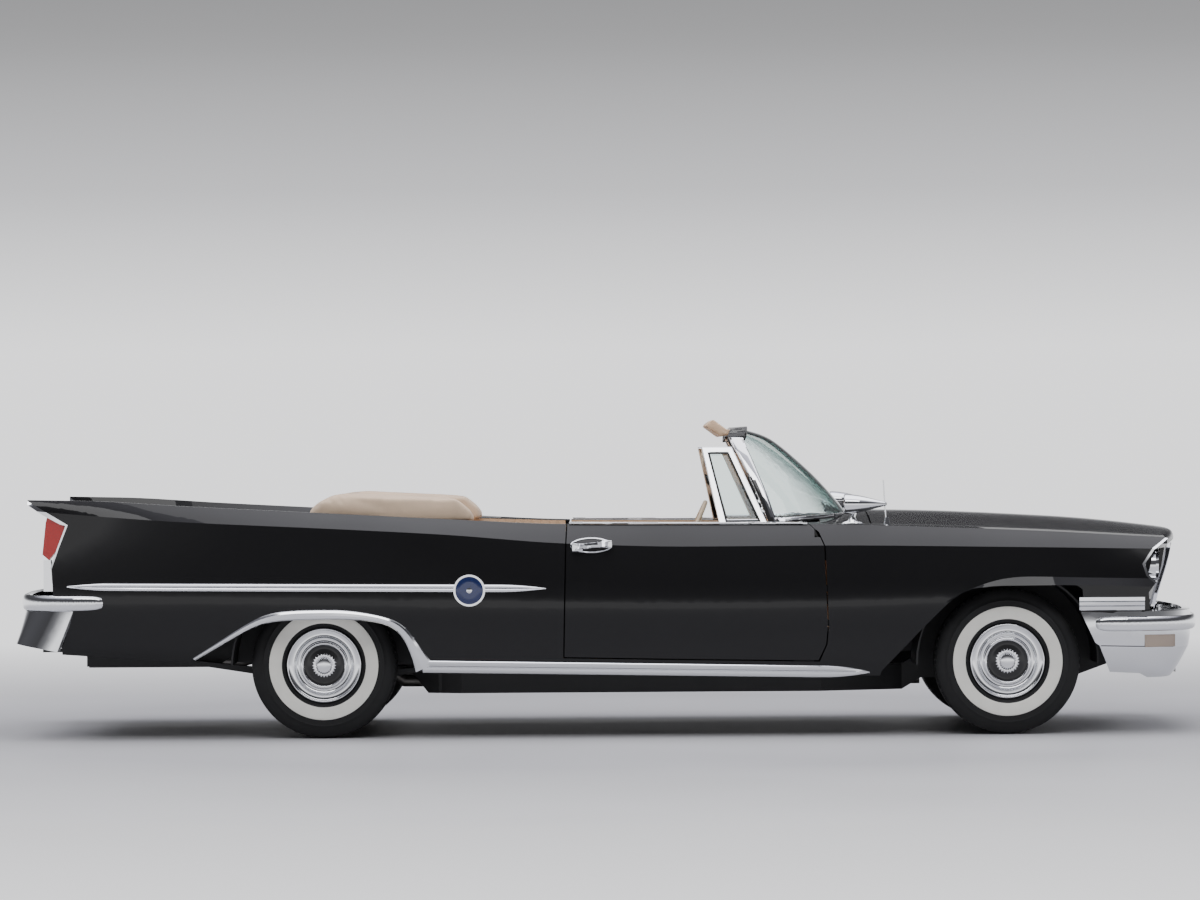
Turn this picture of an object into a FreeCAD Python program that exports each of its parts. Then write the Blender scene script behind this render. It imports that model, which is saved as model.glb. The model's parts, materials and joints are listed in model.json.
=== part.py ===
import FreeCAD, Part
import math
import os
import Sketcher
from FreeCAD import Placement, Rotation, Vector
from functools import lru_cache

# A big two-door convertible of the late 1950s, top down, as jointed pieces.
# X runs forward, Y to the car's left, Z up. The origin is on the ground, midway between the bumper faces.
# Lengths are millimetres and angles degrees.

doc = FreeCAD.newDocument("Convertible")
sizes = doc.addObject("Spreadsheet::Sheet", "Sizes")

# Driving dimensions: one row each in the sheet, with the name as alias.
DIMENSIONS = {
    "overall_length": 5611,
    "overall_width": 2019,
    "wheelbase": 3200,
    "front_overhang": 942,
    "front_track": 1554,
    "rear_track": 1524,
    # fits and gaps
    "fit": 0.3,
    "panel_gap": 6,
    # body walls
    "skin": 14,
    "trim_stand": 8,
    "trim_sunk": 4,
    "brow_stand": 14,
    "tail_lens_inner_y": 878,
    "tail_lens_outer_y": 938,
    "badge_x": -649,
    "badge_z": 693,
    "badge_radius": 74,
    "badge_foot_y": 980,
    "hinge_setback": 8,
    "hinge_face_step": 10,
    # wheels
    "tyre_radius": 343,
    "tyre_width": 218,
    "tread_width": 168,
    "bead_radius": 180,
    "tyre_shoulder_drop": 13,
    "rim_width": 150,
    "rim_depth": 22,
    "cover_radius": 174,
    "cover_stand": 84,
    "cover_ring_radius": 137,
    "cover_dish": 22,
    "cover_hub_radius": 93.5,
    "cover_cone_radius": 58,
    "cover_cone_height": 30,
    "wheel_disc_back": 20,
    # running gear
    "spindle_radius": 30,
    "running_clearance": 0.05,
    "kingpin_inset": 77,
    "kingpin_radius": 10,
    "kingpin_depth": 22,
    "knuckle_height": 260,
    "knuckle_width": 60,
    "knuckle_plate": 30,
    "brake_drum_radius": 124,
    "brake_drum_width": 70,
    "arm_reach": 250,
    "arm_depth": 22,
    "arm_spread": 190,
    "arm_tip": 60,
    "crossmember_width": 120,
    "rear_axle_tube_radius": 38,
    "differential_radius": 125,
    "leaf_length_front": 500,
    "leaf_length_rear": 760,
    "leaf_width": 64,
    "leaf_depth": 34,
    "leaf_y": 590,
    "propshaft_radius": 38,
    # frame
    "rail_width": 72,
        "rail_bottom": 196,
    "rail_front_y": 400,
    "rail_mid_y": 560,
    "rail_kick_height": 300,
    "rail_front_x": 2420,
    "rail_rear_x": -2480,
    "rail_taper_front_x": 1390,
    "rail_taper_mid_x": 1000,
    # floor
    "floor_z": 317,
    "floor_plate": 10,
    "tunnel_half_width": 150,
    "tunnel_rise": 150,
    "boot_floor_z": 452,
    "kick_floor_z": 590,
    "kick_front_x": -760,
    "kick_rear_x": -1830,
    # engine
    "engine_length": 760,
    "engine_width": 560,
    "engine_height": 560,
    "engine_front_x": 2290,
    "engine_bottom_z": 270,
    # hood and cowl
    "hood_rear_x": 1235,
    "hood_rear_z": 1049,
    "hood_plate": 20,
    "hood_lip_x": 2722,
    "hood_bow": 92,
    "firewall_x": 1120,
    "firewall_plate": 12,
    "hinge_axis_setback": 28,
    "hinge_barrel_radius": 5.5,
    "hinge_strap_thickness": 7,
    "hinge_strap_width": 30,
    "hinge_strap_drop": 62,
    "hinge_pocket_reach": 90,
    "panel_strap_angle": 60,
    "door_strap_angle": 75,
    "door_hinge_x": 972,
    "door_hinge_y": 985,
    "door_hinge_low_z": 530,
    "door_hinge_high_z": 690,
    "door_opening": 65,
    "hinge_y": 150,
    "hood_opening": 50,
    "lid_opening": 65,
    # trunk
    "lid_front_x": -1484,
    "lid_front_z": 1035,
    "lid_rear_x": -2604,
    "lid_rear_z": 742,
    "lid_plate": 20,
    "lid_crown": 30,
    "lid_bow": 26,
    "deck_front_x": -1424,
    # cabin
    "cabin_half_width": 690,
    "door_inner_y": 800,
    # wheel arches
    "wheelhouse_inner_y": 472,
    "wheelhouse_radius": 430,
    "wheelhouse_plate": 8,
    "rear_wheelhouse_inner_y": 600,
    # steering
    "steering_wheel_radius": 205,
    "steering_rim_radius": 11,
    "steering_wheel_x": 395,
    "steering_wheel_z": 904,
    "steering_y": 390,
    "column_radius": 24,
    "column_tilt": 24,
    # front end
    "grille_top_z": 884,
    "grille_foot_z": 572,
    "bumper_top_z": 578,
    "grille_top_y": 400,
    "grille_foot_y": 560,
    "grille_depth": 46,
    "grille_bar": 5,
    "grille_rim": 22,
    "grille_rows": 9,
    "grille_columns": 22,
    "lamp_outer_y": 836,
    "lamp_inner_y": 674,
    "lamp_z": 786,
    "lamp_radius": 70,
    "lamp_rim": 9,
    "lamp_front_x": 2585,
    # glass
    "glass_thickness": 6,
    "vent_lean": 0.41,
    "vent_y": 806,
    "handle_stand": 22,
    # dashboard
    "dash_top_z": 968,
    "dash_rear_x": 700,
    "dash_foot_z": 815,
    "mirror_y": 850,
    # exhaust
    "exhaust_y": 330,
    "exhaust_radius": 28,
    "muffler_radius": 60,
    "exhaust_z": 245,
    "exhaust_tip_x": -2490,
    "exhaust_tail_rise": 100,
}

# Windshield levels from its foot up: centre line, then the side edge at the post.
WINDSHIELD = {
    "glass_centre_x": (1142, 1040, 911, 808, 744, 654),
    "glass_centre_z": (1044, 1175, 1292, 1381, 1417, 1438),
    "glass_side_x": (786, 746, 706, 668, 646, 632),
    "glass_side_y": (772, 744, 706, 664, 636, 610),
    "glass_side_z": (1024, 1112, 1214, 1306, 1356, 1392),
}

# Stations along the car and the body's long lines at each: heights and half widths.
STATIONS = ("tail", "fin", "deck", "rear_axle", "quarter", "door_rear", "door_mid", "door_front", "front_axle", "nose")
BODY_LINES = {
    "station_x": (-2707, -2400, -2000, -1336.5, -760, -200, 400, 980, 1863.5, 2605),
    "crest_z": (1127, 1120, 1094, 1057, 1025, 998, 993, 989, 959, 917),
    "crest_y": (928, 926, 918, 905, 892, 884, 884, 890, 898, 862),
    "foot_z": (932, 946, 975, 1006, 1012, 996, 991, 990, 966, 924),
    "foot_y": (858, 850, 838, 826, 832, 838, 838, 842, 832, 796),
    "gap_z": (916, 932, 962, 1000, 1008, 994, 989, 992, 972, 930),
    "gap_y": (706, 712, 720, 728, 770, 792, 792, 790, 762, 722),
    "shoulder_z": (1077, 1050, 1020, 986, 953, 908, 890, 891, 879, 864),
    "shoulder_y": (942, 956, 968, 974, 970, 965, 963, 966, 972, 926),
    "flank_z": (640, 640, 640, 630, 620, 615, 610, 612, 640, 660),
    "flank_y": (940, 972, 991, 1001.5, 1001.5, 999, 997, 999, 1001.5, 940),
    "sill_z": (440, 430, 420, 400, 392, 385, 380, 378, 380, 400),
    "sill_y": (912, 944, 962, 972, 975, 975, 975, 975, 972, 912),
    "under_z": (412, 392, 364, 330, 312, 300, 292, 284, 280, 300),
    "under_y": (880, 912, 930, 940, 943, 943, 943, 943, 940, 880),
}


def fill_sheet():
    row = 1
    for name, number in DIMENSIONS.items():
        sizes.set("A%d" % row, name)
        sizes.set("B%d" % row, str(number))
        sizes.setAlias("B%d" % row, name)
        row += 1
    for line, numbers in WINDSHIELD.items():
        for level, number in enumerate(numbers):
            name = "%s_%d" % (line, level)
            sizes.set("A%d" % row, name)
            sizes.set("B%d" % row, str(number))
            sizes.setAlias("B%d" % row, name)
            row += 1
    for line, numbers in BODY_LINES.items():
        for station, number in zip(STATIONS, numbers):
            name = line + "_at_" + station
            sizes.set("A%d" % row, name)
            sizes.set("B%d" % row, str(number))
            sizes.setAlias("B%d" % row, name)
            row += 1
    doc.recompute()


def size(alias):
    return float(sizes.get(alias))


fill_sheet()

half_length = size("overall_length") / 2
front_axle_x = half_length - size("front_overhang")
rear_axle_x = front_axle_x - size("wheelbase")
axle_z = size("tyre_radius")
skin = size("skin")
fit = size("fit")
panel_gap = size("panel_gap")


# Smooth lines and B-spline skins

def smooth_line(stations, heights):
    """A curve through the given values that never overshoots them, as a function of the station."""
    count = len(stations)
    slopes = [(heights[k + 1] - heights[k]) / (stations[k + 1] - stations[k]) for k in range(count - 1)]
    tangents = [slopes[0]]
    for before, after in zip(slopes, slopes[1:]):
        tangents.append(2 * before * after / (before + after) if before * after > 0 else 0.0)
    tangents.append(slopes[-1])

    def value(station):
        k = 0
        while k < count - 2 and station > stations[k + 1]:
            k += 1
        span = stations[k + 1] - stations[k]
        share = (station - stations[k]) / span
        if share < 0 or share > 1:
            end = 0 if share < 0 else 1
            return heights[k + end] + tangents[k + end] * (station - stations[k + end])
        rest = 1 - share
        return (heights[k] * rest * rest * (1 + 2 * share) + heights[k + 1] * share * share * (1 + 2 * rest)
                + span * tangents[k] * share * rest * rest - span * tangents[k + 1] * share * share * rest)
    return value


station_x = [size("station_x_at_" + station) for station in STATIONS]
body_line = {}
for line_name in BODY_LINES:
    if line_name != "station_x":
        values = [size(line_name + "_at_" + station) for station in STATIONS]
        body_line[line_name] = smooth_line(station_x, values)


def knots(count, degree):
    inner = count - degree - 1
    return list(range(inner + 2)), [degree + 1] + [1] * inner + [degree + 1]


def spline_edge(poles):
    degree = min(3, len(poles) - 1)
    marks, repeats = knots(len(poles), degree)
    curve = Part.BSplineCurve()
    curve.buildFromPolesMultsKnots(poles, repeats, marks, False, degree)
    return curve.toShape()


def spline_face(grid):
    degree_long = min(3, len(grid) - 1)
    degree_wide = min(3, len(grid[0]) - 1)
    marks_long, repeats_long = knots(len(grid), degree_long)
    marks_wide, repeats_wide = knots(len(grid[0]), degree_wide)
    surface = Part.BSplineSurface()
    surface.buildFromPolesMultsKnots(grid, repeats_long, repeats_wide, marks_long, marks_wide,
                                     False, False, degree_long, degree_wide)
    return surface.toShape()


def skin_solid(rings, corners):
    """A solid whose walls follow closed rings of poles, smooth between the ring's corners."""
    ring_size = len(rings[0])
    faces = []
    ends = [[], []]
    for start, stop in zip(corners, corners[1:] + [ring_size]):
        places = [k % ring_size for k in range(start, stop + 1)]
        faces.append(spline_face([[ring[k] for k in places] for ring in rings]))
        for edges, ring in zip(ends, (rings[0], rings[-1])):
            edges.append(spline_edge([ring[k] for k in places]))
    for edges in ends:
        wire = Part.Wire(edges)
        cap = Part.makeFilledFace(wire.Edges) if len(edges) > 2 and not flat(wire) else Part.Face(wire)
        faces.append(cap)
    shell = Part.Shell(faces)
    shell.sewShape()
    solid = Part.Solid(shell)
    if solid.Volume < 0:
        solid.reverse()
    return solid


def flat(wire):
    return wire.findPlane(1e-4) is not None


def spread(start, stop, step):
    """Evenly spaced stations from start to stop, about a step apart."""
    count = max(4, int(round(abs(stop - start) / step)))
    return [start + (stop - start) * k / count for k in range(count + 1)]


def prism_y(corners, y_from, y_to):
    points = [Vector(x, y_from, z) for x, z in corners]
    return Part.Face(Part.makePolygon(points + points[:1])).extrude(Vector(0, y_to - y_from, 0))


def prism_z(corners, z_from, z_to):
    points = [Vector(x, y, z_from) for x, y in corners]
    return Part.Face(Part.makePolygon(points + points[:1])).extrude(Vector(0, 0, z_to - z_from))


def prism_x(corners, x_from, x_to):
    points = [Vector(x_from, y, z) for y, z in corners]
    return Part.Face(Part.makePolygon(points + points[:1])).extrude(Vector(x_to - x_from, 0, 0))


def block(x_from, x_to, y_from, y_to, z_from, z_to):
    return Part.makeBox(x_to - x_from, y_to - y_from, z_to - z_from, Vector(x_from, y_from, z_from))


def mirrored(shape):
    return shape.mirror(Vector(0, 0, 0), Vector(0, 1, 0))


def both_sides(shape):
    return Part.Compound([shape, mirrored(shape)])


def largest(shape):
    return max(shape.Solids, key=lambda solid: solid.Volume)


def bar(points, wide, deep):
    """A four-sided bar along points: wide is half its width, deep its depth, as vectors for each point."""
    rings = []
    for point, side, down in zip(points, wide, deep):
        rings.append([point - side, point + side, point + side + down, point - side + down])
    return skin_solid(rings, [0, 1, 2, 3])


def tube(start, stop, radius):
    return Part.makeCylinder(radius, (stop - start).Length, start, stop - start)


def piece(label, shape):
    """Keeps a shaped solid as one labelled object of the document."""
    thing = doc.addObject("Part::Feature", label)
    thing.Label = label
    thing.Shape = shape
    thing.Placement = Placement()
    return thing


# PartDesign helpers: every corner of a sketch is held by expressions on the sheet

def origin_feature(body, role):
    return [feature for feature in body.Origin.OriginFeatures if feature.Role == role][0]


def outline_sketch(body, plane, corners, name):
    sketch = body.newObject("Sketcher::SketchObject", name)
    sketch.AttachmentSupport = (origin_feature(body, plane), [""])
    sketch.MapMode = "FlatFace"
    spots = [Vector(number(across), number(up), 0) for across, up in corners]
    count = len(spots)
    for k, spot in enumerate(spots):
        sketch.addGeometry(Part.LineSegment(spot, spots[(k + 1) % count]))
    for k in range(count):
        sketch.addConstraint(Sketcher.Constraint("Coincident", k, 2, (k + 1) % count, 1))
    for k, (across, up) in enumerate(corners):
        hold(sketch, "DistanceX", k, across, spots[k].x, -2)
        hold(sketch, "DistanceY", k, up, spots[k].y, -1)
    return sketch


def hold(sketch, kind, edge, expression, amount, axis):
    if abs(amount) < 1e-9:
        sketch.addConstraint(Sketcher.Constraint("PointOnObject", edge, 1, axis))
        return
    index = sketch.addConstraint(Sketcher.Constraint(kind, -1, 1, edge, 1, amount))
    sketch.setExpression("Constraints[%d]" % index, expression)


def number(expression):
    result = sizes.evalExpression(expression)
    return float(getattr(result, "Value", result))


def turned(label, profile, role="Y_Axis"):
    """A body turned about its own Y axis from corners (along the axis, radius)."""
    body = doc.addObject("PartDesign::Body", label)
    body.Label = label
    sketch = outline_sketch(body, "YZ_Plane", profile, label + "_profile")
    turn = body.newObject("PartDesign::Revolution", label + "_turn")
    turn.Profile = sketch
    turn.ReferenceAxis = (origin_feature(body, role), [""])
    turn.Angle = 360
    sketch.Visibility = False
    body.Tip = turn
    return body


def padded(label, plane, corners, width):
    """A body padded evenly to both sides of a plane from corners."""
    body = doc.addObject("PartDesign::Body", label)
    body.Label = label
    sketch = outline_sketch(body, plane, corners, label + "_outline")
    pad = body.newObject("PartDesign::Pad", label + "_pad")
    pad.Profile = sketch
    pad.Midplane = True
    pad.setExpression("Length", width)
    body.Tip = pad
    return body


def seat_at(body, x, y, z, turn=0):
    """Places a body by expressions, turned about Z."""
    body.Placement = Placement(Vector(0, 0, 0), Rotation(Vector(0, 0, 1), turn))
    body.setExpression("Placement.Base.x", x)
    body.setExpression("Placement.Base.y", y)
    body.setExpression("Placement.Base.z", z)


FRONT_AXLE = "Sizes.overall_length / 2 - Sizes.front_overhang"
REAR_AXLE = FRONT_AXLE + " - Sizes.wheelbase"
SIDES = (("left", 1), ("right", -1))

parts = []


# Hinges: a strap from the body ends in a barrel inside a pocket of the moving panel.
# Each is made round its own axis: X ahead to the hinged edge, Z out to the panel's face, Y along the axis.

def hinge_strap(angle, foot):
    """The strap, from its barrel down under the panel's edge and on to the body at foot (ahead, out)."""
    half = size("hinge_strap_thickness") / 2
    width = size("hinge_strap_width") / 2
    turn = math.radians(size(angle))
    elbow = (size("hinge_strap_drop") * math.cos(turn), -size("hinge_strap_drop") * math.sin(turn))
    strap = tube(Vector(0, -width, 0), Vector(0, width, 0), size("hinge_barrel_radius"))
    for start, stop in (((0, 0), elbow), (elbow, foot)):
        run, rise = stop[0] - start[0], stop[1] - start[1]
        side_x, side_z = half * rise / math.hypot(run, rise), -half * run / math.hypot(run, rise)
        strap = strap.fuse(prism_y([
            (start[0] + side_x, start[1] + side_z), (stop[0] + side_x, stop[1] + side_z),
            (stop[0] - side_x, stop[1] - side_z), (start[0] - side_x, start[1] - side_z)], -width, width))
        strap = strap.fuse(tube(Vector(stop[0], -width, stop[1]), Vector(stop[0], width, stop[1]), half))
    return strap


def hinge_pocket(angle, opening):
    """The room that the strap needs in the panel while it opens."""
    room = size("hinge_strap_thickness") / 2 + 1
    width = size("hinge_strap_width") / 2 + fit
    reach = size("hinge_pocket_reach")
    corners = []
    for degrees, side in ((-size(angle), -1), (size(opening) - size(angle), 1)):
        turn = math.radians(degrees)
        near = (-side * room * math.sin(turn), side * room * math.cos(turn))
        far = (near[0] + reach * math.cos(turn), near[1] + reach * math.sin(turn))
        corners += [near, far] if side < 0 else [far, near]
    barrel = tube(Vector(0, -width, 0), Vector(0, width, 0), size("hinge_barrel_radius") + size("running_clearance"))
    return barrel.fuse(prism_y(corners, -width, width))


def placed(shape, place):
    result = shape.copy()
    result.Placement = place
    return result


hood_hinge = Placement(Vector(size("hood_rear_x") + size("hinge_axis_setback"), size("hinge_y"),
                              size("hood_rear_z") - size("hood_plate") / 2), Rotation(Vector(0, 0, 1), 180))
lid_hinge = Placement(Vector(size("lid_front_x") - size("hinge_axis_setback"), size("hinge_y"),
                             size("lid_front_z") - size("lid_plate") / 2 - 1.5), Rotation())
door_hinges = [Placement(Vector(size("door_hinge_x"), size("door_hinge_y"), size(z)), Rotation(Vector(1, 0, 0), -90))
               for z in ("door_hinge_low_z", "door_hinge_high_z")]


# Body sides: one skin from nose to tail on each side

def section(x):
    """Outer poles of the left body side at a station, from the inner top edge round to the underside."""
    at = {name: value(x) for name, value in body_line.items()}
    crest_width = 22
    return [
        Vector(x, at["gap_y"], at["gap_z"]),
        Vector(x, (at["gap_y"] + at["foot_y"]) / 2, (at["gap_z"] + at["foot_z"]) / 2),
        Vector(x, at["foot_y"], at["foot_z"]),
        Vector(x, at["crest_y"] - crest_width, at["crest_z"]),
        Vector(x, at["crest_y"], at["crest_z"]),
        Vector(x, (at["crest_y"] + at["shoulder_y"]) / 2 + 6, (at["crest_z"] + at["shoulder_z"]) / 2),
        Vector(x, at["shoulder_y"], at["shoulder_z"]),
        Vector(x, at["flank_y"] - 16, at["shoulder_z"] * 0.62 + at["flank_z"] * 0.38),
        Vector(x, at["flank_y"], at["flank_z"] + 40),
        Vector(x, at["flank_y"], at["flank_z"] - 40),
        Vector(x, at["sill_y"], at["sill_z"]),
        Vector(x, at["under_y"], at["under_z"]),
    ]


def side_ring(x, wall):
    """The outer section closed by an inner wall; a fin is solid above its foot."""
    outer = section(x)
    gap, mid, foot = outer[0], outer[1], outer[2]
    down = Vector(0, 0, -wall)
    inward = Vector(0, -wall, 0)
    shoulder, upper_flank, high_flank, low_flank, sill, under = outer[6:]
    inner = [
        under + inward,
        sill + inward,
        low_flank + inward,
        high_flank + inward,
        upper_flank + inward,
        Vector(x, shoulder.y - wall, min(shoulder.z, foot.z - wall) - 2),
        foot + down + Vector(0, 6, 0),
        mid + down,
        gap + down,
    ]
    return outer + inner


SIDE_CORNERS = [0, 2, 3, 4, 6, 11, 12, 17, 18, 20]


def side_skin(x_from, x_to):
    return skin_solid([side_ring(x, skin) for x in spread(x_from, x_to, 90)], SIDE_CORNERS)


@lru_cache(maxsize=None)
def cavity(x_from, x_to, clear, top_drop=0):
    """The space inside both body sides, down to the sills, as a solid that inner pieces are cut to."""
    rings = []
    for x in spread(x_from, x_to, 90):
        half = side_ring(x, skin + clear)[12:]
        left = [Vector(p.x, p.y, p.z - top_drop if k > 5 else p.z) for k, p in enumerate(half)]
        right = [Vector(p.x, -p.y, p.z) for p in reversed(left)]
        rings.append(left + right)
    return skin_solid(rings, [0, 5, 6, 8, 9, 11, 12, 17])


def skin_y(x, z):
    """Half width of the body side at a place in side view."""
    poles = section(x)[4:]
    for above, below in zip(poles, poles[1:]):
        if below.z <= z <= above.z:
            return below.y + (above.y - below.y) * (z - below.z) / (above.z - below.z)
    return poles[-1].y if z < poles[-1].z else poles[0].y


# Outlines in side view, from the car's own lines

def door_outline(grow):
    """The door's outline in side view, moved outwards by grow."""
    return [
        (-193 - grow, 1100), (940 + grow, 1100), (940 + grow, 991), (984 + grow, 953), (1012 + grow, 887),
        (1025 + grow, 513), (1017 + grow, 430), (982 + grow, 350 - grow), (323, 361 - grow),
        (-214 - grow, 373 - grow), (-210 - grow, 557), (-202 - grow, 896),
    ]


def front_arch_outline():
    return [
        (1230, 150), (1270, 304), (1470, 512), (1581, 621), (1640, 664), (1692, 686), (1790, 697), (1835, 699),
        (2120, 700), (2180, 698), (2205, 680), (2209, 640), (2196, 600), (2268, 427), (2300, 150),
    ]


def rear_arch_outline():
    return [
        (-2010, 150), (-1980, 340), (-1936, 374), (-1785, 455), (-1672, 523), (-1585, 552), (-1482, 560),
        (-1224, 563), (-1094, 552), (-1008, 527), (-957, 475), (-923, 397), (-902, 319), (-890, 150),
    ]


def tail_cut_outline():
    """What is cut away behind the quarter: under the fin's tip and down its rear edge."""
    return [
        (-2900, 1122), (-2712, 1122), (-2523, 1009), (-2568, 896), (-2599, 807), (-2592, 640), (-2559, 432),
        (-2540, 200), (-2900, 200),
    ]


def nose_cut_outline():
    """What is cut away before the front fender: the hood over the lamps and the raked edge below."""
    return [
        (2900, 1100), (2605, 1100), (2605, 915), (2539, 868), (2490, 795), (2508, 739), (2548, 703),
        (2517, 663), (2522, 577), (2440, 560), (2300, 570), (2196, 574), (2268, 427), (2340, 200), (2900, 200),
    ]


skin_left = side_skin(-2712, 2640)
far_out = size("overall_width")


def brow():
    """The ledge over the front wheel: below it the fender stands out to the car's full width."""
    top = smooth_line([1560, 1621, 1835, 1931, 2215, 2482, 2640], [620, 658, 732, 741, 734, 728, 724])
    low = smooth_line([1560, 1692, 1835, 2215, 2482, 2640], [612, 681, 697, 698, 690, 686])
    swell = smooth_line([1560, 1660, 1800, 2400, 2640], [0.0, 0.45, 1.0, 1.0, 0.6])
    widest = size("overall_width") / 2 - 1
    rings = []
    for x in spread(1570, 2630, 90):
        high_z, low_z = top(x), min(low(x), top(x) - 6)
        high_y, low_y = skin_y(x, high_z), skin_y(x, low_z)
        out_y = low_y + swell(x) * max(0, min(widest, low_y + size("brow_stand")) - low_y)
        rings.append([Vector(x, y, z) for y, z in (
            (high_y - 8, high_z), (high_y + 0.2, high_z), (out_y, low_z), (out_y, 560), (low_y - 8, 560))])
    ledge = skin_solid(rings, [0, 1, 2, 3, 4])
    return ledge.cut(block(2150, 2700, 800, far_out, 500, size("bumper_top_z") + 5))


side_left = largest(skin_left.fuse(brow()))
for cut in (front_arch_outline(), rear_arch_outline(), tail_cut_outline(), nose_cut_outline()):
    side_left = side_left.cut(prism_y(cut, 0, far_out))

door_left_hole = prism_y(door_outline(0), 0, far_out)
fender_zone = prism_y([(936, 1200), (936, 345), (1010, 345), (1010, 100), (3000, 100), (3000, 1200)], 0, far_out)
fender_left = side_left.cut(door_left_hole).common(fender_zone)
quarter_left = side_left.cut(door_left_hole).cut(fender_zone)

inner_space = cavity(-2600, 2560, fit)


def make_sides():
    rear_trim = cabin_side_trim()
    fender = largest(fender_left)
    quarter = largest(quarter_left.fuse(rear_trim)).removeSplitter()
    for name, shape in (("front_fender", fender), ("quarter_panel", quarter)):
        parts.append(piece(name + "_left", shape))
        parts.append(piece(name + "_right", mirrored(shape)))


@lru_cache(maxsize=None)
def cabin_side_trim():
    """The thick wall beside the rear seat, behind the door, with its top at the belt."""
    inner_y = size("cabin_half_width") + 60
    x_rear, x_front = -1200, -220
    rings = []
    for x in spread(x_rear, x_front, 90):
        ring = section(x)
        top = ring[0].z - 1
        rings.append([
            Vector(x, inner_y, top), Vector(x, ring[2].y + 5, top - 2), Vector(x, ring[6].y - 8, ring[6].z - 40),
            Vector(x, ring[9].y - 8, ring[9].z), Vector(x, ring[11].y - 8, ring[11].z + 12),
            Vector(x, inner_y, ring[11].z + 12),
        ])
    return skin_solid(rings, [0, 1, 2, 3, 4, 5]).cut(rear_wheel_room(1)).cut(
        prism_y(rear_arch_outline(), 0, far_out))


def make_doors():
    inner_y = size("door_inner_y")
    rings = []
    for x in spread(-260, 1060, 90):
        ring = section(x)
        inner_top = ring[3].z - 4
        rings.append(ring[3:] + [Vector(x, inner_y, ring[11].z), Vector(x, inner_y, inner_top)])
    slab = skin_solid(rings, [0, 1, 3, 8, 9, 10])
    door = slab.common(prism_y(door_outline(-panel_gap), 0, far_out))
    hinge_x = size("station_x_at_door_front") - size("hinge_setback")
    door = door.cut(block(hinge_x - size("hinge_face_step"), 1100, 0, section(980)[9].y - 60, 0, 1500))
    for hinge in door_hinges:
        door = door.cut(placed(hinge_pocket("door_strap_angle", "door_opening"), hinge))
    door = largest(door)
    doors = [piece("door_left", door), piece("door_right", mirrored(door))]
    parts.extend(doors)
    return doors


# Hood and trunk lid: crowned plates whose centre profile is given, lowered and swept back to their sides

def crowned_plate(profile, thickness, edge_y, edge_drop, bow):
    """rings along the profile; each ring is the top row, then the underside row back."""
    count = len(profile)
    rings = []
    shares = [-1.0, -0.8, -0.5, -0.2, 0.2, 0.5, 0.8, 1.0]
    for k, (x, z) in enumerate(profile):
        before = profile[max(0, k - 1)]
        after = profile[min(count - 1, k + 1)]
        run, rise = after[0] - before[0], after[1] - before[1]
        length = math.hypot(run, rise)
        normal = Vector(-rise / length, 0, run / length)
        if normal.z < 0 or (abs(normal.z) < 0.2 and normal.x * x < 0):
            normal = -normal
        top = []
        for share in shares:
            top.append(Vector(x - bow[k] * share * share, share * edge_y[k], z - edge_drop[k] * share * share))
        under = [point - normal * thickness for point in reversed(top)]
        rings.append(top + under)
    return skin_solid(rings, [0, 7, 8, 15])


def hood_profile():
    xs = [1235, 1350, 1500, 1650, 1800, 1950, 2100, 2250, 2400, 2500, 2590, 2650]
    centre = smooth_line([1235, 1289, 1644, 1930, 2216, 2422, 2650], [1050, 1050, 1041, 1026, 1009, 989, 961])
    return [(x, centre(x)) for x in xs] + [(2700, 953), (2719, 938), (2722, 920), (2722, 908)]


def make_hood():
    profile = hood_profile()
    nose_x = size("hood_lip_x")
    rear_x = size("hood_rear_x")
    gap_y = body_line["gap_y"]
    gap_z = body_line["gap_z"]
    edge_y, edge_drop, bow = [], [], []
    for x, z in profile:
        share = (x - rear_x) / (nose_x - rear_x)
        edge_x = x - size("hood_bow") * share ** 3
        bow.append(size("hood_bow") * share ** 3)
        edge_y.append(gap_y(edge_x) - panel_gap)
        crown = hood_top(profile, x) - gap_z(edge_x)
        edge_drop.append(max(crown, 20))
    hood = crowned_plate(profile, size("hood_plate"), edge_y, edge_drop, bow)
    pocket = placed(hinge_pocket("panel_strap_angle", "hood_opening"), hood_hinge)
    hood = largest(hood.cut(pocket).cut(mirrored(pocket)))
    parts.append(piece("hood", hood))
    return hood


def hood_top(profile, x):
    flat_part = [point for point in profile if point[0] <= 2700]
    xs = [point[0] for point in flat_part]
    zs = [point[1] for point in flat_part]
    return smooth_line(xs, zs)(min(x, xs[-1]))


def lid_profile():
    return [(-1484, 1036), (-1600, 1026), (-1750, 1013), (-1900, 1000), (-2050, 988), (-2200, 975), (-2330, 962),
            (-2440, 947), (-2520, 925), (-2570, 885), (-2594, 830), (-2603, 780), (-2604, 742)]


def make_trunk_lid():
    profile = lid_profile()
    front_x, rear_x = size("lid_front_x"), size("lid_rear_x")
    edge_y, edge_drop, bow = [], [], []
    for x, z in profile:
        share = (x - front_x) / (rear_x - front_x)
        bow.append(-size("lid_bow") * share ** 3)
        edge_y.append(body_line["gap_y"](x) - panel_gap)
        edge_drop.append(size("lid_crown") * min(1, (z - size("lid_rear_z")) / 180))
    lid = crowned_plate(profile, size("lid_plate"), edge_y, edge_drop, bow)
    pocket = placed(hinge_pocket("panel_strap_angle", "lid_opening"), lid_hinge)
    lid = largest(lid.cut(pocket).cut(mirrored(pocket)))
    parts.append(piece("trunk_lid", lid))


# Inner structure, cut to the space between the body sides

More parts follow.
